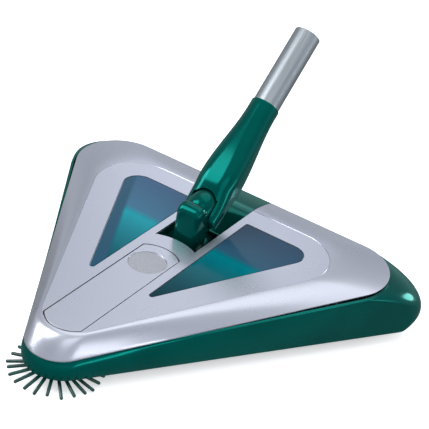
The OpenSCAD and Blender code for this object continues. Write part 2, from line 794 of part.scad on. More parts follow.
// Bracket on the floor whose two ears hold the tilt pin
module post_cradle() {
    front_d = post_front_d + cradle_gap;
    rear_d = post_rear_d - cradle_gap - cradle_ear;
    color(dark) from_back() difference() {
        union() {
            box(-cradle_half, cradle_half, rear_d, front_d + cradle_ear, floor_z, floor_z + 2.5);
            for (d = [rear_d, front_d]) {
                box(-knuckle_r, knuckle_r, d, d + cradle_ear, floor_z, tilt_z);
                rod_y(d, d + cradle_ear, 0, tilt_z, knuckle_r);
            }
        }
        rod_y(0, big / 2, 0, tilt_z, tilt_pin_r);
        for (place = cradle_screw_places) screw_hole(place, floor_z - lap, 2.5 + 2 * lap);
    }
}

module cradle_screws() {
    color(steel) from_back() for (place = cradle_screw_places)
        screw(place, base_z - screw_head_h, screw_head_h + floor_t + 2);
}

module tilt_pin() {
    color(steel) from_back()
        rod_y(post_rear_d - cradle_gap - cradle_ear, post_front_d + cradle_gap + cradle_ear, 0, tilt_z, tilt_pin_r);
}

// Foot that tilts sideways on its pin and carries the fork's pin in its round head
module swivel_post() {
    corner = 5;
    color(green) from_back() difference() {
        union() {
            along_x(post_half) {
                translate([-post_front_d, tilt_z + 4])
                    square([post_front_d - post_rear_d, post_top_z - corner - tilt_z - 4]);
                translate([-post_front_d + corner, post_top_z - corner - lap])
                    square([post_front_d - fork_d - corner, corner + lap]);
                translate([-post_front_d + corner, post_top_z - corner]) circle(r = corner);
                translate([-fork_d, fork_z]) circle(r = head_r);
            }
            rod_y(post_rear_d, post_front_d, 0, tilt_z, knuckle_r);
        }
        rod_y(post_rear_d - lap, post_front_d + lap, 0, tilt_z, tilt_pin_r + run_fit);
        rod_x(-big / 4, big / 4, fork_d, fork_z, fork_pin_r + run_fit / 2);
    }
}

module fork_pin() {
    color(steel) from_back() rod_x(-fork_half_w + 1.5, fork_half_w - 1.5, fork_d, fork_z, fork_pin_r);
}

// Socket of the handle: a fork below, a round collar above
module handle_socket() {
    clear_r = head_r + 1.5;
    inside = post_half + fork_gap;
    web_s = 28;
    arm_r = 10.5;
    round_r = 7;
    color(green) from_back() at_handle() difference() {
        union() {
            hull() {
                for (x = [-1, 1]) for (y = [-1, 1])
                    translate([x * (fork_half_w - round_r), y * (fork_half_depth - round_r), web_s])
                        cylinder(h = 8, r = round_r, $fn = 32);
                translate([0, 0, socket_len - 7]) cylinder(h = 7, r = socket_r, $fn = 64);
            }
            hull() {
                translate([-fork_half_w, 0, 0]) rotate([0, 90, 0])
                    cylinder(h = 2 * fork_half_w, r = arm_r, $fn = 32);
                translate([-fork_half_w, -fork_half_depth + round_r, web_s])
                    cube([2 * fork_half_w, 2 * (fork_half_depth - round_r), 1]);
            }
        }
        translate([-inside, 0, 0]) rotate([0, 90, 0]) cylinder(h = 2 * inside, r = clear_r);
        translate([-inside, -big / 4, -big / 4]) cube([2 * inside, big / 2, big / 4 + 10]);
        translate([-fork_half_w + 1.5 - gap, 0, 0]) rotate([0, 90, 0])
            cylinder(h = 2 * (fork_half_w - 1.5 + gap), r = fork_pin_r + run_fit);
        translate([0, 0, socket_len - tube_in]) cylinder(h = tube_in + lap, r = tube_r + run_fit);
        translate([0, 0, web_s + 12]) cylinder(h = socket_len - tube_in - web_s - 12 + lap, r = tube_r - 3);
        tube_screw_line(screw_r + run_fit, big / 8);
        translate([0, tube_r + screw_seat, tube_screw_s]) rotate([-90, 0, 0])
            cylinder(h = 20, r = screw_head_r + gap);
    }
}

// Cylinder of radius r on the line of the tube's screw, out to y = reach
module tube_screw_line(r, reach) {
    translate([0, tube_r - tube_wall + 0.2, tube_screw_s]) rotate([-90, 0, 0])
        cylinder(h = reach - tube_r + tube_wall - 0.2, r = r);
}

module handle_tube() {
    color(alloy) from_back() at_handle() difference() {
        translate([0, 0, socket_len - tube_in]) cylinder(h = tube_in + tube_out, r = tube_r);
        translate([0, 0, socket_len - tube_in - lap])
            cylinder(h = tube_in + tube_out + 2 * lap, r = tube_r - tube_wall);
        tube_screw_line(screw_r + run_fit, tube_r + lap);
    }
}

module tube_screw() {
    color(steel) from_back() at_handle() {
        tube_screw_line(screw_r, tube_r + screw_seat + lap);
        translate([0, tube_r + screw_seat + run_fit, tube_screw_s]) rotate([-90, 0, 0])
            cylinder(h = screw_head_h, r = screw_head_r);
    }
}

module brush_hub() {
    hub_top = base_z - 0.6;
    color(green) from_back() translate([0, -brush_d, 0]) difference() {
        union() {
            translate([0, 0, bristle_z - 2]) cylinder(h = hub_top - bristle_z + 2, r = brush_hub_r);
            translate([0, 0, bristle_z - 4]) cylinder(h = 2, r1 = brush_hub_r - 4, r2 = brush_hub_r);
        }
        translate([0, 0, -lap]) cylinder(h = base_z + lap, r = brush_axle_r + run_fit);
        bristle_rods(bristle_d / 2 + 0.01);
    }
}

// The ring of round bristles, each drooping outwards from the hub
module bristle_rods(r) {
    root = brush_hub_r - 3;
    reach = (brush_r - root) / cos(bristle_droop) - r;
    for (i = [0 : bristle_count - 1]) rotate(-90 + 360 * i / bristle_count)
        translate([root, 0, bristle_z]) rotate([0, 90 + bristle_droop, 0]) {
            cylinder(h = reach, r = r);
            translate([0, 0, reach]) sphere(r = r, $fn = 24);
        }
}

module brush_bristles() {
    color(green) from_back() translate([0, -brush_d, 0]) bristle_rods(bristle_d / 2);
}

module brush_axle() {
    color(steel) from_back() translate([0, -brush_d, 0]) {
        translate([0, 0, bristle_z - 5.4]) cylinder(h = 1.2, r = 4);
        translate([0, 0, bristle_z - 5.4]) cylinder(h = floor_z + brush_boss_h - bristle_z + 5.4, r = brush_axle_r);
    }
}

module roller_core() {
    color(dark) from_back() difference() {
        rod_x(-roller_half, roller_half, roller_d, roller_z, roller_core_r);
        rod_x(-roller_half - lap, roller_half + lap, roller_d, roller_z, roller_axle_r + run_fit);
    }
}

// Tufts in rows that wind round the roller
module roller_tufts() {
    foot = roller_core_r + run_fit;
    reach = roller_half - tuft_d;
    color(dark) from_back() translate([0, -roller_d, roller_z])
        for (row = [0 : tuft_rows - 1]) for (i = [0 : tufts_per_row - 1]) {
            share = i / (tufts_per_row - 1);
            translate([reach * (2 * share - 1), 0, 0]) rotate([360 * row / tuft_rows + tuft_twist * share, 0, 0])
                translate([0, 0, foot]) cylinder(h = roller_r - foot, r = tuft_d / 2);
        }
}

module roller_axle() {
    color(steel) from_back() rod_x(-block_x - block_w, block_x + block_w, roller_d, roller_z, roller_axle_r);
}

module roller_bushes() {
    color(alloy) from_back() for (side = [-1, 1]) {
        x0 = min(side * block_x, side * (block_x + block_w));
        difference() {
            rod_x(x0, x0 + block_w, roller_d, roller_z, bush_r);
            rod_x(x0 - lap, x0 + block_w + lap, roller_d, roller_z, roller_axle_r + run_fit);
        }
    }
}

// Flanged pulley for the belt, on the left, with a groove of radius r
module pulley(d, z, r) {
    rod_x(-belt_x - pulley_half, -belt_x + pulley_half, d, z, r);
    for (x = [-belt_x - pulley_half, -belt_x + pulley_half - pulley_wall])
        rod_x(x, x + pulley_wall, d, z, r + belt_t + 1);
}

module roller_pulley() {
    color(dark) from_back() difference() {
        pulley(roller_d, roller_z, roller_pulley_r);
        rod_x(-belt_x - 10, -belt_x + 10, roller_d, roller_z, roller_axle_r + run_fit);
    }
}

// Wheel body on the right, with a dished face and a bore for its axle
module wheel_body() {
    difference() {
        rod_x(wheel_in_x, wheel_out_x, wheel_d, wheel_r, hub_r);
        for (x = [wheel_in_x - lap, wheel_out_x - 2]) difference() {
            rod_x(x, x + 2 + lap, wheel_d, wheel_r, hub_r - 2.5);
            rod_x(x - lap, x + 4 + lap, wheel_d, wheel_r, 6);
        }
        rod_x(wheel_in_x - lap, wheel_out_x + lap, wheel_d, wheel_r, wheel_axle_r + run_fit);
    }
}

module idle_wheel() {
    color(green) from_back() wheel_body();
}

module drive_wheel() {
    color(green) from_back() {
        mirror([1, 0, 0]) wheel_body();
        difference() {
            union() {
                pulley(wheel_d, wheel_r, drive_pulley_r);
                rod_x(-belt_x, -wheel_out_x, wheel_d, wheel_r, 6);
            }
            rod_x(-belt_x - 10, -wheel_out_x + lap, wheel_d, wheel_r, wheel_axle_r + run_fit);
        }
    }
}

// Rubber tyre with bevelled shoulders, on the right
module tyre() {
    half = wheel_w / 2 - 1;
    bevel = 1;
    translate([(wheel_in_x + wheel_out_x) / 2, -wheel_d, wheel_r]) rotate([0, 90, 0])
        rotate_extrude($fn = 96) polygon([[hub_r + run_fit, -half], [wheel_r - bevel, -half],
            [wheel_r, -half + bevel], [wheel_r, half - bevel], [wheel_r - bevel, half], [hub_r + run_fit, half]]);
}

module idle_tyre() {
    color(rubber) from_back() tyre();
}

module drive_tyre() {
    color(rubber) from_back() mirror([1, 0, 0]) tyre();
}

module wheel_axles() {
    color(steel) from_back() for (side = [-1, 1])
        rod_x(min(side * inner_ear_x, side * (outer_ear_x + ear_t)),
            max(side * inner_ear_x, side * (outer_ear_x + ear_t)), wheel_d, wheel_r, wheel_axle_r);
}

// Outline of the belt's loop, standing out from both pulleys by out
module belt_outline(out) {
    hull() {
        translate([-wheel_d, wheel_r]) circle(r = drive_pulley_r + out, $fn = 64);
        translate([-roller_d, roller_z]) circle(r = roller_pulley_r + out, $fn = 64);
    }
}

module drive_belt() {
    color(rubber) from_back() translate([-belt_x, 0, 0]) along_x(belt_w / 2) difference() {
        belt_outline(gap + belt_t);
        belt_outline(gap);
    }
}

module front_wheel() {
    half = front_wheel_w / 2;
    color(rubber) from_back() translate([0, -front_wheel_d, front_wheel_r]) rotate([0, 90, 0])
        rotate_extrude($fn = 72) polygon([[front_axle_r + run_fit, -half], [front_wheel_r - 1, -half],
            [front_wheel_r, -half + 1], [front_wheel_r, half - 1], [front_wheel_r - 1, half],
            [front_axle_r + run_fit, half]]);
}

module front_axle() {
    color(steel) from_back()
        rod_x(-front_ear_x - ear_t, front_ear_x + ear_t, front_wheel_d, front_wheel_r, front_axle_r);
}

// Outline of the right flap's opening in the floor, grown by g
module flap_mouth(g) {
    slope = crown_half / crown_len;
    tip_x = window_inner_x + g;
    polygon([[flap_hinge_x - 3 - g, -flap_back_d - flap_seat + g],
        [flap_hinge_x - 3 - g, -flap_tip_d + flap_seat - g],
        [tip_x, -flap_tip_d + flap_seat - g],
        [flap_outer_x - 2 * flap_seat * slope + g, -flap_back_d - flap_seat + g]]);
}

// Upright walls round the right dust box, with a low lip towards the roller
module dust_box() {
    slope = crown_half / crown_len;
    difference() {
        translate([0, 0, floor_z]) linear_extrude(box_top_z - floor_z) flap_mouth(box_wall);
        translate([0, 0, floor_z - lap]) linear_extrude(box_top_z) flap_mouth(0);
        box(flap_hinge_x, flap_outer_x - 8, flap_back_d - 5, flap_back_d + 5, box_lip_z, big);
        box(0, flap_hinge_x, prong_d - prong_w / 2 - 2, prong_d + prong_w / 2 + 2, prong_bar_z - 7, big);
    }
}

module dust_box_left() {
    color(green) from_back() mirror([1, 0, 0]) dust_box();
}

module dust_box_right() {
    color(green) from_back() dust_box();
}

// Right flap: a plate under the floor with two knuckles on its pin
module dust_flap() {
    difference() {
        union() {
            translate([0, 0, flap_z - flap_t / 2]) linear_extrude(flap_t) polygon([
                [flap_hinge_x + 3, -flap_back_d], [flap_outer_x, -flap_back_d], [window_inner_x + 1, -flap_tip_d],
                [flap_hinge_x + 3, -flap_tip_d]]);
            for (d = [flap_back_d + 2, flap_tip_d - 2 - knuckle_len]) {
                rod_y(d, d + knuckle_len, flap_hinge_x, flap_z, flap_knuckle_r);
                box(flap_hinge_x, flap_hinge_x + 4, d, d + knuckle_len, flap_z - flap_t / 2, flap_z + flap_t / 2);
            }
        }
        rod_y(flap_back_d - 5, flap_tip_d + 5, flap_hinge_x, flap_z, flap_pin_r + run_fit);
    }
}

module flap_left() {
    color(dark) from_back() mirror([1, 0, 0]) dust_flap();
}

module flap_right() {
    color(dark) from_back() dust_flap();
}

module flap_pins() {
    color(steel) from_back() for (side = [-1, 1])
        rod_y(flap_back_d - lug_w - gap, flap_tip_d + lug_w + gap, side * flap_hinge_x, flap_z, flap_pin_r);
}

module flap_springs() {
    coil = 6;
    color(steel) from_back() for (side = [-1, 1])
        translate([side * flap_hinge_x, -(flap_back_d + flap_tip_d) / 2 + coil / 2, flap_z]) rotate([90, 0, 0])
            helix(flap_pin_r + 0.8, 0.4, coil, 5);
}

module cover_screws() {
    color(steel) from_back() for (place = cover_boss_places)
        screw(place, base_z - screw_head_h, split_z + 8 - base_z + screw_head_h);
}

module sole_screws() {
    color(steel) from_back() for (place = sole_screw_places)
        screw(place, base_z - sole_t, floor_z + 8 - base_z + sole_t);
}

base_housing();
sole_plate();
top_cover();
window_left();
window_right();
push_lid();
lid_hinge_pin();
lid_spring();
push_prongs();
post_tray();
rear_panel();
post_cradle();
cradle_screws();
swivel_post();
tilt_pin();
fork_pin();
handle_socket();
handle_tube();
tube_screw();
brush_hub();
brush_bristles();
brush_axle();
roller_core();
roller_tufts();
roller_axle();
roller_bushes();
roller_pulley();
drive_wheel();
idle_wheel();
drive_tyre();
idle_tyre();
wheel_axles();
drive_belt();
front_wheel();
front_axle();
dust_box_left();
dust_box_right();
flap_left();
flap_right();
flap_pins();
flap_springs();
cover_screws();
sole_screws();
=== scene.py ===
# %% [markdown]
# # A carpet sweeper
# A push-along sweeper with a three-cornered head: a silver cover over a green body,
# two tinted windows, a long press lid, a corner brush and a handle that tilts on a foot.
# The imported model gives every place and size, so the first step loads it as a frame.

# %% Load the frame
import json
import math
import bpy
from mathutils import Matrix, Vector
from mathutils.kdtree import KDTree


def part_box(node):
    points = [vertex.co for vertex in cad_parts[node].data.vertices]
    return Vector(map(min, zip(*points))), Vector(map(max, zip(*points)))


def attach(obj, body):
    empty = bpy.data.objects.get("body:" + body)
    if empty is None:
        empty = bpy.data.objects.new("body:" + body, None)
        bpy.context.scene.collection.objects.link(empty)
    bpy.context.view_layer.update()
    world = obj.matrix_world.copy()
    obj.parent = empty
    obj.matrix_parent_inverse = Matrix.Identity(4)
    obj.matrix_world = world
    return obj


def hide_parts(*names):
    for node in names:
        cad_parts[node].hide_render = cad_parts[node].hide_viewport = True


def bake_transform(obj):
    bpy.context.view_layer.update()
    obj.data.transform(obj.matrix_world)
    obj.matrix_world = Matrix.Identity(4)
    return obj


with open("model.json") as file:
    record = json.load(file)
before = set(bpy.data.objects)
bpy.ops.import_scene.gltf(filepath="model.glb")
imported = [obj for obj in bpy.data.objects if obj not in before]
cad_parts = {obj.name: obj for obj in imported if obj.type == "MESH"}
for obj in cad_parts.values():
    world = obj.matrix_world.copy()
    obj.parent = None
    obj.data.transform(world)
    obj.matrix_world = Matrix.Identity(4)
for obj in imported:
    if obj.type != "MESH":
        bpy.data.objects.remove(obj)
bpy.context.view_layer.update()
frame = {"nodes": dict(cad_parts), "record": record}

# %% [markdown]
# Blender works in metres and a maker thinks in millimetres. Places on the head are given
# as (x, d, z), with d the distance ahead of the cover's back edge, because the whole head
# is laid out from that edge.

# %% Millimetres and places on the head
MM = 0.001
BACK_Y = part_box("top_cover")[1].y / MM


def place(x, d, z):
    return Vector((x, BACK_Y - d, z)) * MM


def radians(degrees):
    return math.radians(degrees)


print("cover's back edge at y =", round(BACK_Y, 2), "mm")

# %% [markdown]
# The camera looks down on the head from the front right. Its three directions are
# written out, because that also holds its small roll.

# %% Camera
camera_data = bpy.data.cameras.new("camera")
camera = bpy.data.objects.new("camera", camera_data)
bpy.context.scene.collection.objects.link(camera)
forward = Vector((-0.39093, 0.77179, -0.50151))
right = Vector((0.82822, 0.53266, 0.17413))
up = Vector((-0.40153, 0.34728, 0.84745))
turn = Matrix((right, up, -forward)).transposed().to_4x4()
camera.matrix_world = Matrix.Translation(Vector((474.5, -832.2, 608.7)) * MM) @ turn
camera_data.lens = 112.5
camera_data.sensor_width = 36
camera_data.shift_x = -0.02775
camera_data.shift_y = 0.1059
camera_data.clip_start = 0.01
bpy.context.scene.camera = camera
print("camera at", [round(c, 3) for c in camera.location])

# %% [markdown]
# The room and every finish are made of nodes, so three small helpers come first: one for
# colours, one that adds a node with its settings and links, and one for colour ramps.

# %% Helpers for colours and nodes
def hex_to_linear(code):
    """Colour as Blender wants it, from an sRGB hex value such as 00695c."""
    channels = [int(code[i:i + 2], 16) / 255 for i in (0, 2, 4)]
    return [c / 12.92 if c <= 0.04045 else ((c + 0.055) / 1.055) ** 2.4 for c in channels] + [1]


def add_node(owner, kind, settings=None, links=None, feeds=None):
    """Add a node to a material or a world, naming its sockets by name or by number.

    links maps an input of it to (node, output), and feeds maps an output to (node, input).
    """
    node = owner.node_tree.nodes.new(kind)
    for name, value in (settings or {}).items():
        if isinstance(name, str) and hasattr(node, name):
            setattr(node, name, value)
        else:
            node.inputs[name].default_value = value
    for name, (source, output) in (links or {}).items():
        owner.node_tree.links.new(source.outputs[output], node.inputs[name])
    for name, (target, entry) in (feeds or {}).items():
        owner.node_tree.links.new(node.outputs[name], target.inputs[entry])
    return node


def fill_ramp(ramp, stops):
    """Give a colour ramp its stops of (position, hex colour)."""
    elements = ramp.color_ramp.elements
    while len(elements) < len(stops):
        elements.new(0.5)
    for element, (position, code) in zip(elements, stops):
        element.position, element.color = position, hex_to_linear(code)


print("node helpers ready")

# %% [markdown]
# Glossy plastic shows its lights more than its own colour. A pale room with a few soft
# elliptical panels gives broad, quiet highlights, and a low panel on the right draws the
# streak along the green side. The camera sees a plain white backdrop.

# %% Room and soft lights
LEFT_STRENGTH, RIGHT_STRENGTH = 0.78, 1.15
# The cover mirrors one soft bright patch of the room, so it pales towards its middle. The
# patch fades over 9 degrees.
GLOW_TOWARDS, GLOW_REACH, GLOW_STRENGTH = (-0.43, 0.735, 0.525), 9, 2.2
# Colours of the room from straight down to straight up.
ROOM_SHADES = [(0.0, "7b8084"), (0.45, "94999e"), (0.56, "d8dde2"),
               (0.72, "b9bec6"), (1.0, "f4f6f8")]
# Each panel's name, place in metres, width and height in metres, and power in watts.
PANELS = [("panel_left", (-1.4, -0.9, 0.9), (0.8, 1.2), 14),
          ("panel_key", (-0.75, -0.85, 1.25), (0.8, 0.9), 8),
          ("panel_top", (0.1, 0.5, 1.7), (2.4, 1.5), 8),
          ("panel_right", (0.85, 1.18, 0.4), (0.5, 0.35), 4),
          ("panel_side", (1.6, -0.1, 0.17), (1.6, 0.16), 3),
          ("panel_front", (1.2, -1.5, 1.6), (1.8, 1.2), 5)]


def soft_panel(name, location, size, power, target=(0, 0, 0.03)):
    """Elliptical area light that faces the target."""
    light = bpy.data.lights.new(name, "AREA")
    light.shape = "ELLIPSE"
    light.size, light.size_y = size
    light.energy = power
    panel = bpy.data.objects.new(name, light)
    bpy.context.scene.collection.objects.link(panel)
    panel.location = location
    panel.rotation_euler = (Vector(target) - panel.location).to_track_quat("-Z", "Y").to_euler()


def room(name, stops):
    """World that changes from straight down to straight up and from left to right."""
    world = bpy.data.worlds.new(name)
    world.use_nodes = True
    background, output = [world.node_tree.nodes[key] for key in ("Background", "World Output")]
    direction = add_node(world, "ShaderNodeTexCoord")
    split = add_node(world, "ShaderNodeSeparateXYZ", {}, {"Vector": (direction, "Generated")})
    height = add_node(world, "ShaderNodeMapRange", {"From Min": -1}, {"Value": (split, "Z")})
    ramp = add_node(world, "ShaderNodeValToRGB", {}, {"Fac": (height, "Result")},
                    {"Color": (background, "Color")})
    fill_ramp(ramp, stops)
    side = add_node(world, "ShaderNodeMapRange",
                    {"From Min": -1, "From Max": 1, "To Min": LEFT_STRENGTH,
                     "To Max": RIGHT_STRENGTH},
                    {"Value": (split, "X")})
    closeness = add_node(world, "ShaderNodeVectorMath",
                         {"operation": "DOT_PRODUCT", 1: Vector(GLOW_TOWARDS).normalized()},
                         {0: (direction, "Generated")})
    glow = add_node(world, "ShaderNodeMapRange",
                    {"interpolation_type": "SMOOTHSTEP", "From Min": math.cos(radians(GLOW_REACH)),
                     "To Max": GLOW_STRENGTH}, {"Value": (closeness, "Value")})
    add_node(world, "ShaderNodeMath", {}, {0: (side, "Result"), 1: (glow, "Result")},
             {"Value": (background, "Strength")})
    backdrop = add_node(world, "ShaderNodeBackground", {"Color": hex_to_linear("ffffff")})
    seen = add_node(world, "ShaderNodeLightPath")
    add_node(world, "ShaderNodeMixShader", {},
             {0: (seen, "Is Camera Ray"), 1: (background, 0), 2: (backdrop, 0)},
             {0: (output, "Surface")})
    return world


bpy.context.scene.world = room("room", ROOM_SHADES)
bpy.context.scene.view_settings.view_transform = "Standard"
for panel in PANELS:
    soft_panel(*panel)

# %% [markdown]
# Each finish starts from what the real material is. Most are one colour that drifts a
# little, so one function makes those: it sets the shader's uniform numbers and lays a
# noise, sized in millimetres, under the colour, the roughness and the relief.

# %% Helpers for materials
NOISE_DETAIL = 3


def new_material(name, **uniform):
    """Material and its shader, with the shader inputs that are the same all over."""
    material = bpy.data.materials.new(name)
    material.use_nodes = True
    shader = material.node_tree.nodes["Principled BSDF"]
    for key, value in uniform.items():
        shader.inputs[key.replace("_", " ")].default_value = value
    return material, shader


def mottled(name, colours, size_mm, detail=NOISE_DETAIL, roughness=None, relief=None, **uniform):
    """Material whose colour drifts between two hex values, in blotches about size_mm across.

    roughness is (lowest, highest, blotch in mm); relief is (height in mm, strength, grain in mm).
    """
    material, shader = new_material(name, **uniform)
    coordinates = add_node(material, "ShaderNodeTexCoord")
    sizes = {"colour": (size_mm, detail)}
    if roughness:
        sizes["roughness"] = (roughness[2], NOISE_DETAIL)
    if relief:
        sizes["relief"] = (relief[2], 1)
    noise = {use: add_node(material, "ShaderNodeTexNoise",
                           {"Scale": 1000 / size, "Detail": octaves},
                           {"Vector": (coordinates, "Object")})
             for use, (size, octaves) in sizes.items()}
    ramp = add_node(material, "ShaderNodeValToRGB", {}, {"Fac": (noise["colour"], "Fac")},
                    {"Color": (shader, "Base Color")})
    fill_ramp(ramp, [(0.35, colours[0]), (0.65, colours[1])])
    if roughness:
        add_node(material, "ShaderNodeMapRange", {"To Min": roughness[0], "To Max": roughness[1]},
                 {"Value": (noise["roughness"], "Fac")}, {"Result": (shader, "Roughness")})
    if relief:
        add_node(material, "ShaderNodeBump", {"Distance": relief[0] * MM, "Strength": relief[1]},
                 {"Height": (noise["relief"], "Fac")}, {"Normal": (shader, "Normal")})
    return material


print("material helpers ready")

# %% [markdown]
# Metallic lacquer on moulded ABS: flakes of aluminium under a clear coat. It mirrors
# softly, with a faint lilac cast, so its highlights have no hard edge.
# Real flakes are 0.05 mm across, too fine to show, so they are drawn at 0.7 mm.

# %% Silver lacquer
silver_lacquer = mottled("silver_lacquer", ("b6b9c5", "bbbeca"), 0.7, detail=2,
                         roughness=(0.25, 0.31, 40), Metallic=0.85, Coat_Weight=0.1,
                         Coat_Roughness=0.15)
print(silver_lacquer.name)

# %% [markdown]
# The press mark has no lacquer shine: its floor is spark-eroded, so it looks flat and grey.

# %% Satin silver
satin_silver = mottled("satin_silver", ("a3a5ac", "b0b2b9"), 1.2, roughness=(0.5, 0.6, 3),
                       Metallic=0.8)
print(satin_silver.name)

# %% [markdown]
# Polished ABS with a pearl pigment, moulded against a bright steel tool. The pigment makes
# it part metallic, so its shine is teal like its body and not white. Its surface waves
# very slightly, a few centimetres apart.

# %% Green ABS
green_abs = mottled("green_abs", ("003f3a", "004a44"), 60, roughness=(0.1, 0.16, 12),
                    relief=(0.03, 0.5, 25), IOR=1.54, Metallic=0.45, Specular_IOR_Level=0.8,
                    Specular_Tint=hex_to_linear("00e6d8"), Coat_Weight=0.02, Coat_Roughness=0.03)
print(green_abs.name)

# %% [markdown]
# Tinted polycarbonate for the windows, with the view through them painted into its colour:
# slate blue at the back, painted teal light ahead of that, where the lit dirt chamber lies
# close below, and deep slate painted shade at the tip. The chamber's wall casts a painted
# slate shade along the left pane's slanted edge, and the right pane is painted darker, as
# shade. The index is lower than polycarbonate's 1.58, so that the room's reflection doesn't
# hide the tint.

# %% Tinted polycarbonate, with painted light and shade
SHADES_FRONT_D, SHADES_BACK_D = 198, 53.5
# Colours from the pane's tip to its back: deep painted shade, painted teal light over the chamber,
# then the slate tint.
WINDOW_LIGHT_AND_SHADE = [(0.0, "1c4550"), (0.22, "06606e"), (0.45, "0c8290"), (0.6, "2f9aa6"),
                 (0.66, "4c7690"), (1.0, "44617f")]
# The painted rim of shade begins 11 mm in from the slanted edge and has its full colour at 8 mm.
RIM_PAINTED_SHADE, RIM_INNER, RIM_OUTER = "35596f", 11, 8
# The way out through that edge, as (x, y), and how far that way the edge lies, in mm.
EDGE_X, EDGE_Y = -0.9, -0.44
EDGE_AT = EDGE_X * -100 + EDGE_Y * (BACK_Y - SHADES_BACK_D)
# How dark the right pane's painted shade gets, the saturation, and how far from the middle, in mm,
# the darkening runs.
RIGHT_PANE_PAINTED_SHADE, RIGHT_SATURATION, MIDDLE_MM = 0.6, 1.12, 30

window_tint_painted_light, shader = new_material("window_tint_painted_light", IOR=1.14, Transmission_Weight=0.3,
                                   Coat_Weight=0.04)
coordinates = add_node(window_tint_painted_light, "ShaderNodeTexCoord")
split = add_node(window_tint_painted_light, "ShaderNodeSeparateXYZ", {}, {"Vector": (coordinates, "Object")})
along = add_node(window_tint_painted_light, "ShaderNodeMapRange",
                 {"From Min": (BACK_Y - SHADES_FRONT_D) * MM,
                  "From Max": (BACK_Y - SHADES_BACK_D) * MM},
                 {"Value": (split, "Y")})
# The pane's colour along its length carries the painted light and shade.
depth = add_node(window_tint_painted_light, "ShaderNodeValToRGB", {}, {"Fac": (along, "Result")})
fill_ramp(depth, WINDOW_LIGHT_AND_SHADE)
slanted = add_node(window_tint_painted_light, "ShaderNodeMath", {"operation": "MULTIPLY", 1: EDGE_X},
                   {0: (split, "X")})
from_edge = add_node(window_tint_painted_light, "ShaderNodeMath", {"operation": "MULTIPLY_ADD", 1: EDGE_Y},
                     {0: (split, "Y"), 2: (slanted, "Value")})
rim = add_node(window_tint_painted_light, "ShaderNodeMapRange",
               {"From Min": (EDGE_AT - RIM_INNER) * MM, "From Max": (EDGE_AT - RIM_OUTER) * MM},
               {"Value": (from_edge, "Value")})
# Painted shade of the chamber's wall, laid along the slanted edge.
# Sockets 6 and 7 are the colours A and B of the mix, and output 2 is its colour.
with_painted_rim = add_node(window_tint_painted_light, "ShaderNodeMix", {"data_type": "RGBA", 7: hex_to_linear(RIM_PAINTED_SHADE)},
                  {"Factor": (rim, "Result"), 6: (depth, "Color")})
# Painted shade: the right pane is made darker towards its side.
shade = add_node(window_tint_painted_light, "ShaderNodeMapRange",
                 {"From Min": -MIDDLE_MM * MM, "From Max": MIDDLE_MM * MM,
                  "To Min": 1.0, "To Max": RIGHT_PANE_PAINTED_SHADE},
                 {"Value": (split, "X")})
add_node(window_tint_painted_light, "ShaderNodeHueSaturation", {"Saturation": RIGHT_SATURATION},
         {"Value": (shade, "Result"), "Color": (with_painted_rim, 2)}, {"Color": (shader, "Base Color")})
smears = add_node(window_tint_painted_light, "ShaderNodeTexNoise", {"Scale": 1000 / 10, "Detail": NOISE_DETAIL},
                  {"Vector": (coordinates, "Object")})
add_node(window_tint_painted_light, "ShaderNodeMapRange", {"To Min": 0.05, "To Max": 0.12},
         {"Value": (smears, "Fac")}, {"Result": (shader, "Roughness")})
print(window_tint_painted_light.name)

# %% [markdown]
# Satin anodised aluminium for the tube. Drawing the tube leaves fine lines along it, which
# spread its highlight into one long band. The real lines are a few tenths of a millimetre
# apart, and are drawn at 0.8 mm so that they show.

# %% Anodised aluminium
anodised_tube, shader = new_material("anodised_tube", Metallic=1.0)
coordinates = add_node(anodised_tube, "ShaderNodeTexCoord")
along = add_node(anodised_tube, "ShaderNodeMapping", {"Rotation": (radians(44.5), 0, 0)},
                 {"Vector": (coordinates, "Object")})
stretched = add_node(anodised_tube, "ShaderNodeMapping", {"Scale": (1, 1, 0.02)},
                     {"Vector": (along, "Vector")})
lines = add_node(anodised_tube, "ShaderNodeTexNoise", {"Scale": 1000 / 0.8, "Detail": 2},
                 {"Vector": (stretched, "Vector")})
ramp = add_node(anodised_tube, "ShaderNodeValToRGB", {}, {"Fac": (lines, "Fac")},
                {"Color": (shader, "Base Color")})
fill_ramp(ramp, [(0.35, "979ea3"), (0.65, "a4abb0")])
add_node(anodised_tube, "ShaderNodeMapRange", {"To Min": 0.3, "To Max": 0.4},
         {"Value": (lines, "Fac")}, {"Result": (shader, "Roughness")})
print(anodised_tube.name)

# %% [markdown]
# The plain finishes of what is underneath and inside: nylon bristle, black polypropylene
# with a fine spark-eroded grain, zinc-plated steel, sintered bronze and moulded rubber.
# The dust boxes are painted a paler teal than the green body, as painted light that falls into
# them, which is what shows through the windows.

# %% Inner finishes
nylon_bristle = mottled("nylon_bristle", ("002c28", "00463f"), 8, Roughness=0.35, IOR=1.53)
black_polypropylene = mottled("black_polypropylene", ("15191b", "1d2224"), 30,
                              relief=(0.05, 0.3, 0.8), Roughness=0.45, IOR=1.49)
zinc_steel = mottled("zinc_steel", ("9a9ea3", "aeb2b6"), 3, roughness=(0.25, 0.4, 2), Metallic=1.0)
sintered_bronze = mottled("sintered_bronze", ("8a6a3c", "a9854f"), 1.5,
                          roughness=(0.4, 0.55, 1.5), Metallic=1.0)
moulded_rubber = mottled("moulded_rubber", ("16181a", "202325"), 15,
                         roughness=(0.6, 0.75, 4), IOR=1.52)
# Paler teal as painted light, for the lit inside of the dust boxes.
teal_box_painted_light = mottled("teal_box_painted_light", ("1f9c98", "35aea8"), 30, roughness=(0.25, 0.35, 12), IOR=1.5)
print("materials", len(bpy.data.materials))

# %% [markdown]
# The CAD nodes carry the record's material slots, so each node gets the finish of its slot.

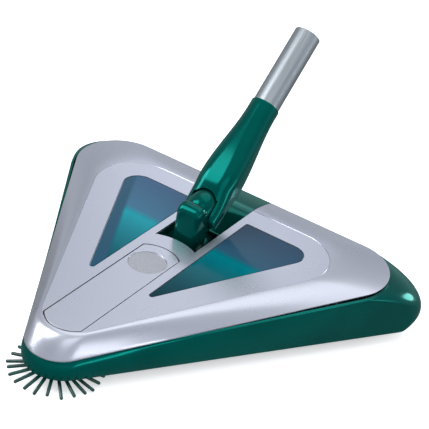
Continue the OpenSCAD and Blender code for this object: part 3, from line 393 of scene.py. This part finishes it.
# %% Finish for each slot
FINISH = {"silver": silver_lacquer, "green": green_abs, "bristle": nylon_bristle,
          "tuft": black_polypropylene, "window": window_tint_painted_light, "dark_plastic": black_polypropylene,
          "steel": zinc_steel, "tube_alloy": anodised_tube, "bush_bronze": sintered_bronze,
          "rubber": moulded_rubber, "tyre": moulded_rubber}
slot_of = {part["node"]: part["material_slot"] for part in frame["record"]["subparts"]}
bodies = frame["record"]["behaviour"]["bodies"]
body_of = {node: body for body, nodes in bodies.items() for node in nodes}
for name, node in frame["nodes"].items():
    node.data.materials.clear()
    node.data.materials.append(FINISH[slot_of[name]])
# The dust boxes get the paler teal of painted light.
for name in ("dust_box_left", "dust_box_right"):
    frame["nodes"][name].data.materials[0] = teal_box_painted_light
print("finished nodes", len(slot_of))

# %% [markdown]
# The head's outline is a triangle with round corners. The same outline, with other
# insets, gives every ring of the cover and of the green wall, so one function draws it.

# %% Rounded outlines
def rounded_outline(corners, radii, arc_steps=16, side_steps=8):
    """Points round a convex polygon, its corners rounded, anticlockwise from its first corner."""
    arcs = []
    count = len(corners)
    for i, corner in enumerate(corners):
        corner = Vector(corner)
        to_last = (Vector(corners[i - 1]) - corner).normalized()
        to_next = (Vector(corners[(i + 1) % count]) - corner).normalized()
        half = to_last.angle(to_next) / 2
        middle = corner + (to_last + to_next).normalized() * radii[i] / math.sin(half)
        start = corner + to_last * radii[i] / math.tan(half) - middle
        sweep = math.pi - 2 * half
        arcs.append([middle + Matrix.Rotation(sweep * k / arc_steps, 2) @ start
                     for k in range(arc_steps + 1)])
    points = []
    for i, arc in enumerate(arcs):
        points += arc
        following = arcs[(i + 1) % count][0]
        points += [arc[-1].lerp(following, k / side_steps) for k in range(1, side_steps)]
    return points


OUTLINE_HALF, OUTLINE_LEN = 187.0, 374 * math.cos(radians(30))
OUTLINE_TIP_R, OUTLINE_BACK_R = 28, 40.7
CROWN_HALF, CROWN_LEN, CROWN_BACK = 139.0, OUTLINE_LEN - 42.1, 31.4
CROWN_TIP_R, CROWN_BACK_R = 27, 40
EDGE_BACK_Z, EDGE_FALL = 59.3, 34
CROWN_BACK_Z, CROWN_FALL = 63.1, 19.4


def edge_z(d):
    """Height of the silver edge, which falls towards the tip."""
    return EDGE_BACK_Z - EDGE_FALL / OUTLINE_LEN * d


def crown_z(d):
    """Height of the flat crown, which falls less."""
    return CROWN_BACK_Z - CROWN_FALL / CROWN_LEN * (d - CROWN_BACK)


def head_outline(half, length, tip_out, side_out, back_out, tip_radius, back_radius):
    """The head's triangle with its corners and sides moved out by so many mm."""
    slant = Vector((half, length)).length
    normal = Vector((length, -half)) / slant
    tip = Vector((0, -length)) + normal * tip_out
    back = Vector((half, 0)) + normal * side_out
    along_side = back - tip
    tip_y = tip.y - tip.x * along_side.y / along_side.x
    back_x = tip.x + (back_out - tip.y) * along_side.x / along_side.y
    return rounded_outline([(0, tip_y), (back_x, back_out), (-back_x, back_out)],
                           [tip_radius, back_radius, back_radius])


print("points in an outline",
      len(head_outline(OUTLINE_HALF, OUTLINE_LEN, 0, 0, 0, OUTLINE_TIP_R, OUTLINE_BACK_R)))

# %% [markdown]
# Most of Blender's tools work on what is selected, so the first helpers select a piece, or
# the vertices of a piece that lie on given points.

# %% Helpers that select
def deselect_all():
    if bpy.context.mode != "OBJECT":
        bpy.ops.object.mode_set(mode="OBJECT")
    bpy.ops.object.select_all(action="DESELECT")


def make_active(piece):
    deselect_all()
    piece.select_set(True)
    bpy.context.view_layer.objects.active = piece


def tree_of(points):
    """Search tree that finds the nearest of the points."""
    tree = KDTree(len(points))
    for i, point in enumerate(points):
        tree.insert(point, i)
    tree.balance()
    return tree


def select_near(piece, points, within=1e-6):
    """Select, in edit mode, the vertices that lie on the points."""
    tree = tree_of(points)
    bpy.ops.object.mode_set(mode="EDIT")
    bpy.ops.mesh.select_all(action="DESELECT")
    bpy.ops.object.mode_set(mode="OBJECT")
    for vertex in piece.data.vertices:
        vertex.select = tree.find(vertex.co)[2] < within
    bpy.ops.object.mode_set(mode="EDIT")
    bpy.ops.mesh.select_mode(type="VERT")


print("selection helpers ready")

# %% [markdown]
# A moulded shell is drawn here as a ring of points that is extruded from one level to
# the next, as one would extrude a circle by hand and scale it at each step. The helper
# starts from a circle primitive, extrudes it in edit mode and fills both ends.

# %% Helpers that extrude rings
def ring_order(chosen, ring):
    """The chosen vertices in the order of the ring that they still lie on."""
    tree = tree_of([vertex.co for vertex in chosen])
    return [chosen[tree.find(point)[1]] for point in ring]


def fill_ring(piece, ring):
    """One face over a ring of vertices."""
    make_active(piece)
    select_near(piece, ring)
    bpy.ops.mesh.edge_face_add()
    bpy.ops.object.mode_set(mode="OBJECT")


def turn_outwards(piece):
    """Merge doubles and point every face outwards."""
    make_active(piece)
    bpy.ops.object.mode_set(mode="EDIT")
    bpy.ops.mesh.select_all(action="SELECT")
    bpy.ops.mesh.remove_doubles(threshold=1e-7)
    bpy.ops.mesh.normals_make_consistent(inside=False)
    bpy.ops.object.mode_set(mode="OBJECT")


def extrude_rings(name, rings, close=True):
    """Piece through rings of points in metres, all with as many points, filled at both ends."""
    deselect_all()
    count = len(rings[0])
    bpy.ops.mesh.primitive_circle_add(vertices=count, radius=0.01, location=(0, 0, 0))
    piece = bpy.context.object
    piece.name = piece.data.name = name
    for vertex, point in zip(piece.data.vertices, rings[0]):
        vertex.co = point
    for level, ring in enumerate(rings[1:], 1):
        bpy.ops.object.mode_set(mode="EDIT")
        bpy.ops.mesh.extrude_region_move()
        bpy.ops.object.mode_set(mode="OBJECT")
        chosen = [v for v in piece.data.vertices if v.select]
        order = ring_order(chosen, rings[level - 1])
        for vertex, point in zip(order, ring):
            vertex.co = point
    if close:
        for ring in (rings[0], rings[-1]):
            fill_ring(piece, ring)
        turn_outwards(piece)
    return piece


print("ring helpers ready")

# %% [markdown]
# Openings are cut with a block or a cylinder. Every edge that shows gets a small bevel,
# because moulded and machined edges are never quite sharp.

# %% Helpers that cut and soften
def prism(name, outline, top, bottom):
    """Upright block over an outline of (x, -d), between two depths under the crown's plane."""
    rings = [[place(p[0], -p[1], crown_z(-p[1]) - depth) for p in outline]
             for depth in (bottom, top)]
    return extrude_rings(name, rings)


def cylinder(radius, length, location=(0, 0, 0), vertices=96, rotation=(0, 0, 0)):
    """Cylinder primitive, its size in mm and its place in metres."""
    deselect_all()
    bpy.ops.mesh.primitive_cylinder_add(vertices=vertices, radius=radius * MM, depth=length * MM,
                                        location=location, rotation=rotation)
    return bpy.context.object


def cut(piece, cutter, operation="DIFFERENCE"):
    """Boolean with another piece, which is used up."""
    make_active(piece)
    bpy.ops.object.modifier_add(type="BOOLEAN")
    modifier = piece.modifiers[-1]
    modifier.operation = operation
    modifier.solver = "EXACT"
    modifier.object = cutter
    bpy.ops.object.modifier_apply(modifier=modifier.name)
    bpy.data.objects.remove(cutter)


def soften(piece, width_mm, segments=2, angle=35, smooth=35):
    """Round the sharp edges, and shade them so that flat faces stay flat."""
    make_active(piece)
    if width_mm:
        bpy.ops.object.modifier_add(type="BEVEL")
        modifier = piece.modifiers[-1]
        modifier.width = width_mm * MM
        modifier.segments = segments
        modifier.limit_method = "ANGLE"
        modifier.angle_limit = radians(angle)
        modifier.use_clamp_overlap = True
        bpy.ops.object.modifier_apply(modifier=modifier.name)
    bpy.ops.object.shade_smooth_by_angle(angle=radians(smooth))
    if width_mm:
        bpy.ops.object.modifier_add(type="WEIGHTED_NORMAL")
        piece.modifiers[-1].keep_sharp = True
        bpy.ops.object.modifier_apply(modifier=piece.modifiers[-1].name)


print("cutting helpers ready")

# %% [markdown]
# A finished piece takes over from the CAD nodes that it stands for.

# %% Helper that hands a piece over
def hand_over(piece, *nodes):
    """The piece takes the body of the CAD nodes that it stands for and the finish of their slot,
    and hides them.
    """
    piece.data.materials.clear()
    piece.data.materials.append(FINISH[slot_of[nodes[0]]])
    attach(piece, body_of[nodes[0]])
    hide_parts(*nodes)
    triangles = sum(len(p.vertices) - 2 for p in piece.data.polygons)
    print(piece.name, "triangles", triangles)


print("nodes to stand for", len(slot_of))

# %% [markdown]
# ## Silver cover
# One moulded shell, 2.2 mm thick. Its outside rolls up from the edge to a flat crown, and
# a fine groove marks where they meet. It could be sculpted or cut from a block, but rings
# extruded level by level keep its long highlights clean. The windows, the lid and the
# handle's channel are cut out afterwards, as a toolmaker's cores would.

# %% Cover shell
COVER_T = 2.2
ROLL_STEPS = 12
# How far the inside lies below the outside: at the edge, and how much more at the crown.
EDGE_DROP, CROWN_DROP = 0.9, 1.3
# The lip under the edge, with its lower corner cut off.
LIP_DEPTH, LIP_CORNER_IN, LIP_CORNER_DEPTH = 1.2, 0.3, 0.8
GROOVE_DEPTH, GROOVE_WIDTH = 0.35, 0.7


def cover_ring(k, inset=0.0, drop=0.0):
    """Ring on the roll between the edge, where k is 0, and the crown, where k is 1."""
    edge = head_outline(OUTLINE_HALF, OUTLINE_LEN, -inset, -inset, -inset,
                        OUTLINE_TIP_R - inset, OUTLINE_BACK_R - inset)
    crown = head_outline(CROWN_HALF, CROWN_LEN, 0, 0, 0, CROWN_TIP_R, CROWN_BACK_R)
    ring = []
    for e, c in zip(edge, crown):
        c = Vector((c.x, c.y - CROWN_BACK))
        p = e.lerp(c, k)
        low, high = edge_z(-e.y), crown_z(-c.y)
        ring.append(place(p.x, -p.y, low + (high - low) * math.sin(radians(90 * k)) - drop))
    return ring


def crown_ring(inset, drop):
    """Ring on the flat crown, moved in from its outline."""
    crown = head_outline(CROWN_HALF, CROWN_LEN, -inset, -inset, -inset,
                         CROWN_TIP_R - inset, CROWN_BACK_R - inset)
    return [place(p.x, CROWN_BACK - p.y, crown_z(CROWN_BACK - p.y) - drop) for p in crown]


inner = [cover_ring(k / ROLL_STEPS, COVER_T,
                    EDGE_DROP + CROWN_DROP * math.sin(radians(90 * k / ROLL_STEPS)))
         for k in range(ROLL_STEPS, -1, -1)]
outer = [cover_ring(k / ROLL_STEPS) for k in range(0, ROLL_STEPS + 1)]
lip = [cover_ring(0, COVER_T, LIP_DEPTH), cover_ring(0, LIP_CORNER_IN, LIP_DEPTH),
       cover_ring(0, 0, LIP_CORNER_DEPTH)]
groove = [crown_ring(GROOVE_WIDTH / 2, GROOVE_DEPTH), crown_ring(GROOVE_WIDTH, 0)]
silver_cover = extrude_rings("silver_cover", inner + lip + outer + groove)
print("cover faces", len(silver_cover.data.polygons))

# %% [markdown]
# The openings are blocks with the outline of what fits in them. Each window stands on a
# ledge, so its opening is two blocks: a shallow wide one over a deep narrow one.

# %% Outlines of the windows, lid and channel
WINDOW_CORNERS = [(27, -53.5), (27, -207), (100, -53.5)]
WINDOW_RADII = [2.5, 2.5, 15]
LID_HALF, LID_REAR_D, LID_FRONT_D, LID_REAR_BOW, LID_FRONT_BOW = 18.5, 142, 269.99, 7, 9
CHANNEL_HALF, CHANNEL_FRONT_D, CHANNEL_BOW = 20, 123, 5
# How far the blocks reach behind the cover's back edge.
BEHIND = 30


def grown(outline, distance):
    """The closed outline moved outwards by a distance, or inwards if it is negative."""
    points = [Vector(p[:2]) for p in outline]
    area = sum(a.x * b.y - b.x * a.y for a, b in zip(points, points[1:] + points[:1]))
    side = 1 if area > 0 else -1
    moved = []
    for last, here, following in zip([points[-1]] + points[:-1], points, points[1:] + points[:1]):
        a, b = (here - last).normalized(), (following - here).normalized()
        normal = Vector((a.y + b.y, -a.x - b.x)).normalized()
        moved.append(here + normal * side * distance / max(0.3, normal.dot(Vector((a.y, -a.x)))))
    return moved


def mirrored(outline):
    """The same outline on the other side of the head."""
    return [Vector((-p[0], p[1])) for p in reversed(outline)]


def bow(half, height, steps=28):
    """Arc from -half to half that rises by height in the middle."""
    radius = (half * half + height * height) / (2 * height)
    reach = math.asin(half / radius)
    angles = [reach * (2 * i / steps - 1) for i in range(steps + 1)]
    return [Vector((radius * math.sin(a), radius * math.cos(a) - radius + height)) for a in angles]


def lid_outline(shrink=0.0):
    """Long tongue with a bowed rear and a bowed front."""
    half = LID_HALF - shrink
    rear = [Vector((p.x, p.y - LID_REAR_D - shrink)) for p in bow(half, LID_REAR_BOW)]
    front = [Vector((-p.x, shrink - p.y - LID_FRONT_D)) for p in bow(half, LID_FRONT_BOW)]
    return rear + front


window_outline = rounded_outline(WINDOW_CORNERS, WINDOW_RADII, 12, 1)
channel = [Vector((CHANNEL_HALF, BEHIND)), Vector((-CHANNEL_HALF, BEHIND))]
channel += [Vector((p.x, p.y - CHANNEL_FRONT_D)) for p in bow(CHANNEL_HALF, CHANNEL_BOW)]
print("window points", len(window_outline), "lid points", len(lid_outline()))

# %% [markdown]
# The blocks start above the cover's plane and end inside it. A seat is as deep as a pane is
# thick, and its ledge is what the pane rests on.

# %% Openings in the cover
CUT_FROM, WINDOW_CUT_TO, LID_CUT_TO = -5, 12, 14
CHANNEL_CUT_FROM, CHANNEL_CUT_TO = -12, 40
SEAT_DEPTH, LEDGE = 1.6, 2.2

for outline in (window_outline, mirrored(window_outline)):
    cut(silver_cover, prism("window_seat", outline, CUT_FROM, SEAT_DEPTH))
    cut(silver_cover, prism("window_hole", grown(outline, -LEDGE), CUT_FROM, WINDOW_CUT_TO))
cut(silver_cover, prism("lid_hole", lid_outline(), CUT_FROM, LID_CUT_TO))
cut(silver_cover, prism("channel_hole", channel, CHANNEL_CUT_FROM, CHANNEL_CUT_TO))
soften(silver_cover, 0.25, 2, 40, 30)
hand_over(silver_cover, "top_cover")

# %% [markdown]
# ## Windows
# Flat panes of tinted polycarbonate, set a hair below the cover's face, with a polished
# bevel round the edge. A block with the window's outline, its edge bevelled, is enough.

# %% Windows
PANE_GAP, PANE_SUNK = 0.7, 0.15

for node, outline in (("window_right", window_outline), ("window_left", mirrored(window_outline))):
    pane = prism("tinted_" + node, grown(outline, -PANE_GAP), PANE_SUNK, SEAT_DEPTH)
    soften(pane, 0.3, 2, 30, 30)
    hand_over(pane, node)

# %% [markdown]
# ## Press lid
# A long tongue that one presses at its rear. The round press mark is a shallow dish with
# a soft rim, and carries no lettering here. The dish is cut with a cylinder, and the
# bevel on its rim is what catches the light.

# %% Press lid
LID_GAP, LID_T = 0.8, 2.6
DIMPLE_D, DIMPLE_R, DIMPLE_DEPTH, DISH_LEN = 162.0, 16.0, 1.0, 10
# The lid rises by this much for each unit of length towards the back.
LID_SLOPE = 0.07

press_lid = prism("press_lid", lid_outline(LID_GAP), 0, LID_T)
dish = cylinder(DIMPLE_R, DISH_LEN,
                place(0, DIMPLE_D, crown_z(DIMPLE_D) + (DISH_LEN / 2 - DIMPLE_DEPTH)),
                vertices=72, rotation=(math.atan(CROWN_FALL / CROWN_LEN), 0, 0))
bpy.ops.object.transform_apply(location=True, rotation=True, scale=True)
cut(press_lid, dish)
soften(press_lid, 0.3, 3, 40, 40)
hand_over(press_lid, "push_lid")

# The dish's floor gets the flat grey finish as a second material.
press_lid.data.materials.append(satin_silver)
centre = place(0, DIMPLE_D, crown_z(DIMPLE_D) - DIMPLE_DEPTH)
for face in press_lid.data.polygons:
    offset = face.center - centre
    within_rim = Vector((offset.x, offset.y)).length < (DIMPLE_R - 0.3) * MM
    on_floor = abs(offset.z) < DIMPLE_DEPTH * MM + LID_SLOPE * abs(offset.y)
    if within_rim and on_floor:
        face.material_index = 1
print("press mark faces", sum(face.material_index for face in press_lid.data.polygons))

# %% [markdown]
# ## Green body
# The wall bulges outwards below the silver edge. Its section is fixed by three outlines,
# at the foot, at the fullest height and at the rim, and a smooth curve runs through them.

# %% Green wall
OUTSIDE_STEPS, INSIDE_STEPS = 20, 6
BASE_Z, WALL_T = 10.0, 2.5
# The wall ends this far below the silver edge, where a step goes in and up under the lip.
WALL_TOP, STEP_IN, STEP_UP = 2.4, 1.0, 0.9
# How far each side stands out from the silver edge, and the radii of the corners, each at
# the foot, at the fullest height and at the rim.
TIP_OUT, SIDE_OUT, BACK_OUT = (-1, 1.3, -3), (2.2, 3.4, 5.9), (-2.7, 12, 3)
TIP_R, BACK_R, SMALLEST_R = (28, 31.5, 28), (14.3, 22, 46.2), 3
FULLEST_AT = 0.44


def through(foot, full, top, t, at=FULLEST_AT):
    """Smooth curve through three values, for t from 0 to 1."""
    return (foot * (t - at) * (t - 1) / at + full * t * (t - 1) / (at * (at - 1))
            + top * t * (t - at) / (1 - at))


def wall_ring(t, inset=0.0, rise=0.0):
    """Ring of the wall, from its foot, where t is 0, to its rim, where t is 1."""
    outline = head_outline(OUTLINE_HALF, OUTLINE_LEN, through(*TIP_OUT, t) - inset,
                           through(*SIDE_OUT, t) - inset, through(*BACK_OUT, t) - inset,
                           max(through(*TIP_R, t) - inset, SMALLEST_R),
                           max(through(*BACK_R, t) - inset, SMALLEST_R))
    return [place(p.x, -p.y, BASE_Z + t * (edge_z(-p.y) - WALL_TOP - BASE_Z) + rise)
            for p in outline]


outside = [wall_ring(t / OUTSIDE_STEPS) for t in range(OUTSIDE_STEPS + 1)]
# A step under the silver lip leaves a dark seam and keeps the inside out of sight.
rim_step = [wall_ring(1, STEP_IN), wall_ring(1, STEP_IN, STEP_UP), wall_ring(1, WALL_T, STEP_UP)]
inside = [wall_ring(t / INSIDE_STEPS, WALL_T) for t in range(INSIDE_STEPS, -1, -1)]
green_wall = extrude_rings("green_wall", outside + rim_step + inside, close=False)
make_active(green_wall)
select_near(green_wall, outside[0] + inside[-1])
bpy.ops.mesh.bridge_edge_loops()
bpy.ops.object.mode_set(mode="OBJECT")
turn_outwards(green_wall)
soften(green_wall, 0.4, 2, 50, 40)
hand_over(green_wall, "base_housing")

# %% [markdown]
# The floor of the body and its bosses keep the CAD node's shape. A copy of the node,
# merged and cut to what lies inside the wall, gives them.

# %% Body floor
# The floor's edge reaches this far into the wall.
FLOOR_OVERLAP = 0.2


def merged_copy(node, name):
    """Copy of a CAD node with its triangles merged into whole faces."""
    source = frame["nodes"][node]
    piece = bpy.data.objects.new(name, source.data.copy())
    bpy.context.scene.collection.objects.link(piece)
    make_active(piece)
    bpy.ops.object.mode_set(mode="EDIT")
    bpy.ops.mesh.select_all(action="SELECT")
    bpy.ops.mesh.remove_doubles(threshold=1e-6)
    bpy.ops.mesh.dissolve_limited(angle_limit=radians(0.2))
    bpy.ops.object.mode_set(mode="OBJECT")
    return piece


body_floor = merged_copy("base_housing", "body_floor")
inner_space = extrude_rings("inner_space", [wall_ring(t / INSIDE_STEPS, WALL_T - FLOOR_OVERLAP)
                                           for t in range(INSIDE_STEPS + 1)])
cut(body_floor, inner_space, "INTERSECT")
soften(body_floor, 0, 0, 0, 35)
hand_over(body_floor, "base_housing")

# %% [markdown]
# ## Handle socket
# The fork and the round socket are one moulding. Two arms hang beside the foot's head, and
# above them a block with round corners runs smoothly into the collar. All of it is
# one stack of rings, each a little rounder than the last, and a slot parts the arms later.

# %% Handle socket
LEAN = radians(-44.5)
FORK_D, FORK_Z = 85.4, 74.0


def onto_handle(piece):
    """Carry a piece made upright about the fork's pin to the handle's line."""
    make_active(piece)
    piece.rotation_euler.x = LEAN
    piece.location = place(0, FORK_D, FORK_Z)
    bpy.ops.object.transform_apply(location=True, rotation=True, scale=True)


def upright_ring(half_x, half_y, radius, s, steps=12):
    """Rounded rectangle at the height s above the pin."""
    corners = [(half_x, -half_y), (half_x, half_y), (-half_x, half_y), (-half_x, -half_y)]
    outline = rounded_outline(corners, [min(radius, half_x, half_y) - 0.01] * 4, steps, 2)
    return [Vector((p.x, p.y, s)) * MM for p in outline]


ARM_R, BLOCK_S, BLOCK_STEPS = 10.5, 30, 8
BLOCK_X, BLOCK_Y, BLOCK_ROUND = 18, 16, 12.5
COLLAR_R, COLLAR_RUN, COLLAR_STEPS = 13, 70, 20
# The collar's top edge, as (radius, height above the pin).
COLLAR_EDGE = [(COLLAR_R, 106.4), (12.6, 107)]

# The round lower ends of the arms, and the swell from the arms to the block.
sides = [(ARM_R * math.cos(radians(a)), ARM_R * math.sin(radians(a))) for a in range(-84, 1, 7)]
for step in range(1, BLOCK_STEPS + 1):
    swell = (1 - math.cos(math.pi * step / BLOCK_STEPS)) / 2
    sides.append((ARM_R + (BLOCK_Y - ARM_R) * swell, BLOCK_S * step / BLOCK_STEPS))
rings = [upright_ring(BLOCK_X, half_y, min(BLOCK_ROUND, 0.9 * half_y), s) for half_y, s in sides]
# From the block to the round collar.
for step in range(1, COLLAR_STEPS + 1):
    t = step / COLLAR_STEPS
    ease = t * t * (3 - 2 * t)
    rings.append(upright_ring(BLOCK_X - (BLOCK_X - COLLAR_R) * ease,
                              BLOCK_Y - (BLOCK_Y - COLLAR_R) * ease,
                              BLOCK_ROUND + (COLLAR_R - BLOCK_ROUND) * ease,
                              BLOCK_S + COLLAR_RUN * t))
rings += [upright_ring(radius, radius, radius, s) for radius, s in COLLAR_EDGE]
handle_socket = extrude_rings("fork_socket", rings)
print("socket rings", len(rings))

# %% [markdown]
# The arms are what is left when the room for the foot's head is cut out of the lower end:
# a straight slot below, and a round arch above.

# %% Room for the head, and bore for the tube
GAP_HALF, GAP_REACH, GAP_TOP, ROOM_R = 12.25, 40, 10, 20.5
SOCKET_BORE_R, SOCKET_BORE_LEN, SOCKET_BORE_S = 12.05, 50, 87
DOME_LEVELS, DOME_CURVE = 12, 2.4


def side_block(name, points, x0, x1):
    """Block along x over points (y, z), in mm."""
    return extrude_rings(name, [[Vector((x, y, z)) * MM for y, z in points] for x in (x0, x1)])


def dome(name, half, radius, shoulder=7.0, vertices=96):
    """Round about x, widest in the middle and falling by shoulder to its two faces."""
    angles = [2 * math.pi * i / vertices for i in range(vertices)]
    rings = []
    for x in (half * i / DOME_LEVELS for i in range(-DOME_LEVELS, DOME_LEVELS + 1)):
        r = radius - shoulder * abs(x / half) ** DOME_CURVE
        rings.append([Vector((x, r * math.cos(a), r * math.sin(a))) * MM for a in angles])
    return extrude_rings(name, rings)


slot_sides = [(-GAP_REACH, -GAP_REACH), (GAP_REACH, -GAP_REACH), (GAP_REACH, GAP_TOP),
              (-GAP_REACH, GAP_TOP)]
cut(handle_socket, side_block("arm_gap", slot_sides, -GAP_HALF, GAP_HALF))
cut(handle_socket, dome("head_room", GAP_HALF, ROOM_R))
cut(handle_socket, cylinder(SOCKET_BORE_R, SOCKET_BORE_LEN, (0, 0, SOCKET_BORE_S * MM)))
soften(handle_socket, 0.9, 3, 40, 40)
onto_handle(handle_socket)
hand_over(handle_socket, "handle_socket")

# %% [markdown]
# ## Handle tube
# A drawn aluminium tube, 24 mm across with a 1 mm wall and both ends lightly broken. A
# cylinder primitive gives the outside, and a narrower one cuts the bore.

# %% Handle tube
TUBE_R, TUBE_T, TUBE_LEN, TUBE_S = 12, 1, 119, 121.5
# The cylinder that cuts the bore sticks out at both ends.
BORE_LEN = 140

handle_tube = cylinder(TUBE_R, TUBE_LEN, (0, 0, TUBE_S * MM))
handle_tube.name = handle_tube.data.name = "drawn_tube"
bpy.ops.object.transform_apply(location=True, rotation=True, scale=True)
cut(handle_tube, cylinder(TUBE_R - TUBE_T, BORE_LEN, (0, 0, TUBE_S * MM)))
soften(handle_tube, 0.25, 2, 40, 40)
onto_handle(handle_tube)
hand_over(handle_tube, "handle_tube")

# %% [markdown]
# ## Foot
# The foot is a solid post with a round head. Its edges are generously rounded, as moulded
# parts are, and that gives it its soft highlights. The side view is drawn once and
# extruded across.

# %% Foot
def arc_points(cy, cz, radius, start, end, step=6):
    """Points (y, z) on an arc, with its angles in degrees."""
    count = max(1, round(abs(end - start) / step))
    angles = [radians(start + (end - start) * i / count) for i in range(count + 1)]
    return [(cy + radius * math.cos(a), cz + radius * math.sin(a)) for a in angles]


FOOT_HALF, FOOT_ROUND = 11.5, 5.0
HEAD_R = 19
TILT_D, TILT_Z, KNUCKLE_R, KNUCKLE_LEN, PIN_BORE_R, PIN_BORE_LEN = 91, 36, 8, 42, 3.05, 60
# The side view as (y, z), with y measured from the cover's back edge. Its top has a notch
# in front of the head, for the fork when the handle stands upright.
side_view = ([(-112, 40), (-92, 40), (-90, 58), (-76, 66)] + arc_points(-83, 76, 7, 0, 90)
             + [(-98.6, 83)] + arc_points(-103, 78, 9, 75, 180))

# The rings go across the foot. The first and the last ones shrink, which rounds the edges.
quarter = [(FOOT_ROUND * (1 - math.cos(radians(a))), FOOT_ROUND * (1 - math.sin(radians(a))))
           for a in range(0, 91, 15)]
levels = [(-FOOT_HALF + depth, inset) for depth, inset in quarter]
levels += [(FOOT_HALF - depth, inset) for depth, inset in reversed(quarter)]
foot_rings = [[Vector((x, BACK_Y + p.x, p.y)) * MM for p in grown(side_view, -inset)]
              for x, inset in levels]
foot = extrude_rings("foot", foot_rings)

# The knuckle round the tilt pin, the pin's bore, and the head for the fork.
tilt_at, lengthwise = place(0, TILT_D, TILT_Z), (radians(90), 0, 0)
cut(foot, cylinder(KNUCKLE_R, KNUCKLE_LEN, tilt_at, vertices=64, rotation=lengthwise), "UNION")
cut(foot, cylinder(PIN_BORE_R, PIN_BORE_LEN, tilt_at, vertices=48, rotation=lengthwise))
head = dome("foot_head", FOOT_HALF, HEAD_R)
head.data.transform(Matrix.Translation(place(0, FORK_D, FORK_Z)))
cut(foot, head, "UNION")
soften(foot, 0, smooth=50)
hand_over(foot, "swivel_post")

# %% [markdown]
# ## Tray and rear panel
# The channel's green floor and the panel behind it. The tray keeps the CAD's folded
# sheet, with its edges softened. The panel continues the cover's roll across the
# channel, so it is cut from the same shell as the cover, between the channel's sides.

# %% Tray and rear panel
tray = merged_copy("post_tray", "channel_tray")
soften(tray, 0.4, 2, 40, 35)
hand_over(tray, "post_tray")

STRIP_HALF, STRIP_FRONT_D, STRIP_CUT_TO = 19.7, 34.85, 60
strip = [Vector((-STRIP_HALF, BEHIND)), Vector((-STRIP_HALF, -STRIP_FRONT_D)),
         Vector((STRIP_HALF, -STRIP_FRONT_D)), Vector((STRIP_HALF, BEHIND))]
rear_panel = extrude_rings("rear_shell", inner + lip + outer)
cut(rear_panel, prism("strip", strip, CHANNEL_CUT_FROM, STRIP_CUT_TO), "INTERSECT")
soften(rear_panel, 0.4, 2, 40, 35)
hand_over(rear_panel, "rear_panel")

# %% [markdown]
# ## Corner brush
# A hub with round nylon bristles that droop towards the floor. Real bristles are never
# all alike, so each droops and leans by a slightly different amount, worked out from its
# number and not by chance. Each bristle is a sphere drawn out into a rod with rounded
# ends, which is then tilted down and turned to its place about the hub.

# %% Corner brush
BRUSH_D, BRISTLE_Z, BRISTLES = OUTLINE_LEN - 53.9, 7.6, 24
BRISTLE_R, BRISTLE_ROOT, BRISTLE_REACH = 1.45, 10, 26.9
# Degrees down from level and how much they vary, mm shorter, and degrees to one side.
DROOP, DROOP_VARIES, REACH_VARIES, SPREAD_VARIES = 9, 1.2, 0.6, 1.5


def bristle_at(i):
    """One bristle: a sphere drawn out into a rod, tilted down and turned about the hub."""
    droop = radians(DROOP + DROOP_VARIES * math.sin(i * 2.3))
    reach = BRISTLE_REACH / math.cos(droop) - REACH_VARIES * (1 + math.sin(i * 3.7))
    spread = radians(-90 + 360 * i / BRISTLES + SPREAD_VARIES * math.sin(i * 5.1))
    deselect_all()
    bpy.ops.mesh.primitive_uv_sphere_add(segments=12, ring_count=8, radius=BRISTLE_R * MM)
    bristle = bpy.context.object
    for vertex in bristle.data.vertices:
        if vertex.co.z < 0:
            vertex.co.z += -reach * MM
    for move in (Matrix.Rotation(math.pi, 4, "X"), Matrix.Rotation(radians(90) + droop, 4, "Y"),
                 Matrix.Translation((BRISTLE_ROOT * MM, 0, 0)), Matrix.Rotation(spread, 4, "Z"),
                 Matrix.Translation(place(0, BRUSH_D, BRISTLE_Z))):
        bristle.data.transform(move)
    return bristle


brush_bristles = bristle_at(0)
brush_bristles.name = brush_bristles.data.name = "nylon_bristles"
for i in range(1, BRISTLES):
    bristle = bristle_at(i)
    make_active(brush_bristles)
    bristle.select_set(True)
    bpy.ops.object.join()
soften(brush_bristles, 0, smooth=60)
hand_over(brush_bristles, "brush_bristles")

# %% [markdown]
# ## Wheels, roller and the rest of the underside
# These shapes are right in the CAD. A merged copy of each gets softened edges, so that
# the light runs along them, and the finish of its slot.

# %% Underside pieces
# The width of the bevel on each piece, in mm.
UNDERSIDE = {"sole_plate": 0.35, "brush_hub": 0.3, "roller_core": 0.3,
             "drive_wheel": 0.4, "idle_wheel": 0.4, "drive_tyre": 0.6, "idle_tyre": 0.6,
             "front_wheel": 0.6, "flap_left": 0.2, "flap_right": 0.2}
for node, width in UNDERSIDE.items():
    piece = merged_copy(node, "soft_" + node)
    soften(piece, width, 2, 45, 40)
    hand_over(piece, node)

# %% [markdown]
# The lid's spring stands on the body and carries the lid. A merged copy of it gets smooth
# shading and the finish of its slot, and the CAD node is hidden.

# %% Lid spring
coil_spring = merged_copy("lid_spring", "coil_spring")
soften(coil_spring, 0, smooth=80)
coil_spring.data.materials.clear()
coil_spring.data.materials.append(FINISH[slot_of["lid_spring"]])
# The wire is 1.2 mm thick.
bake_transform(coil_spring)
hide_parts("lid_spring")
print(coil_spring.name, "triangles", sum(len(p.vertices) - 2 for p in coil_spring.data.polygons))

# %% [markdown]
# ## Floor
# A plain pale sheet. It is not part of the object.

# %% Floor
floor_material = mottled("pale_floor", ("f6f7f8", "fafbfc"), 400, Roughness=0.7,
                         Emission_Strength=0.5, Emission_Color=hex_to_linear("ffffff"))
deselect_all()
bpy.ops.mesh.primitive_plane_add(size=60, location=(0, 0, 0))
floor = bpy.context.object
floor.name = "floor"
floor.data.materials.append(floor_material)
floor.visible_glossy = False
print("floor set")

# %% [markdown]
# Last, the view layer is brought up to date.

# %% Bring the scene up to date
bpy.context.view_layer.update()
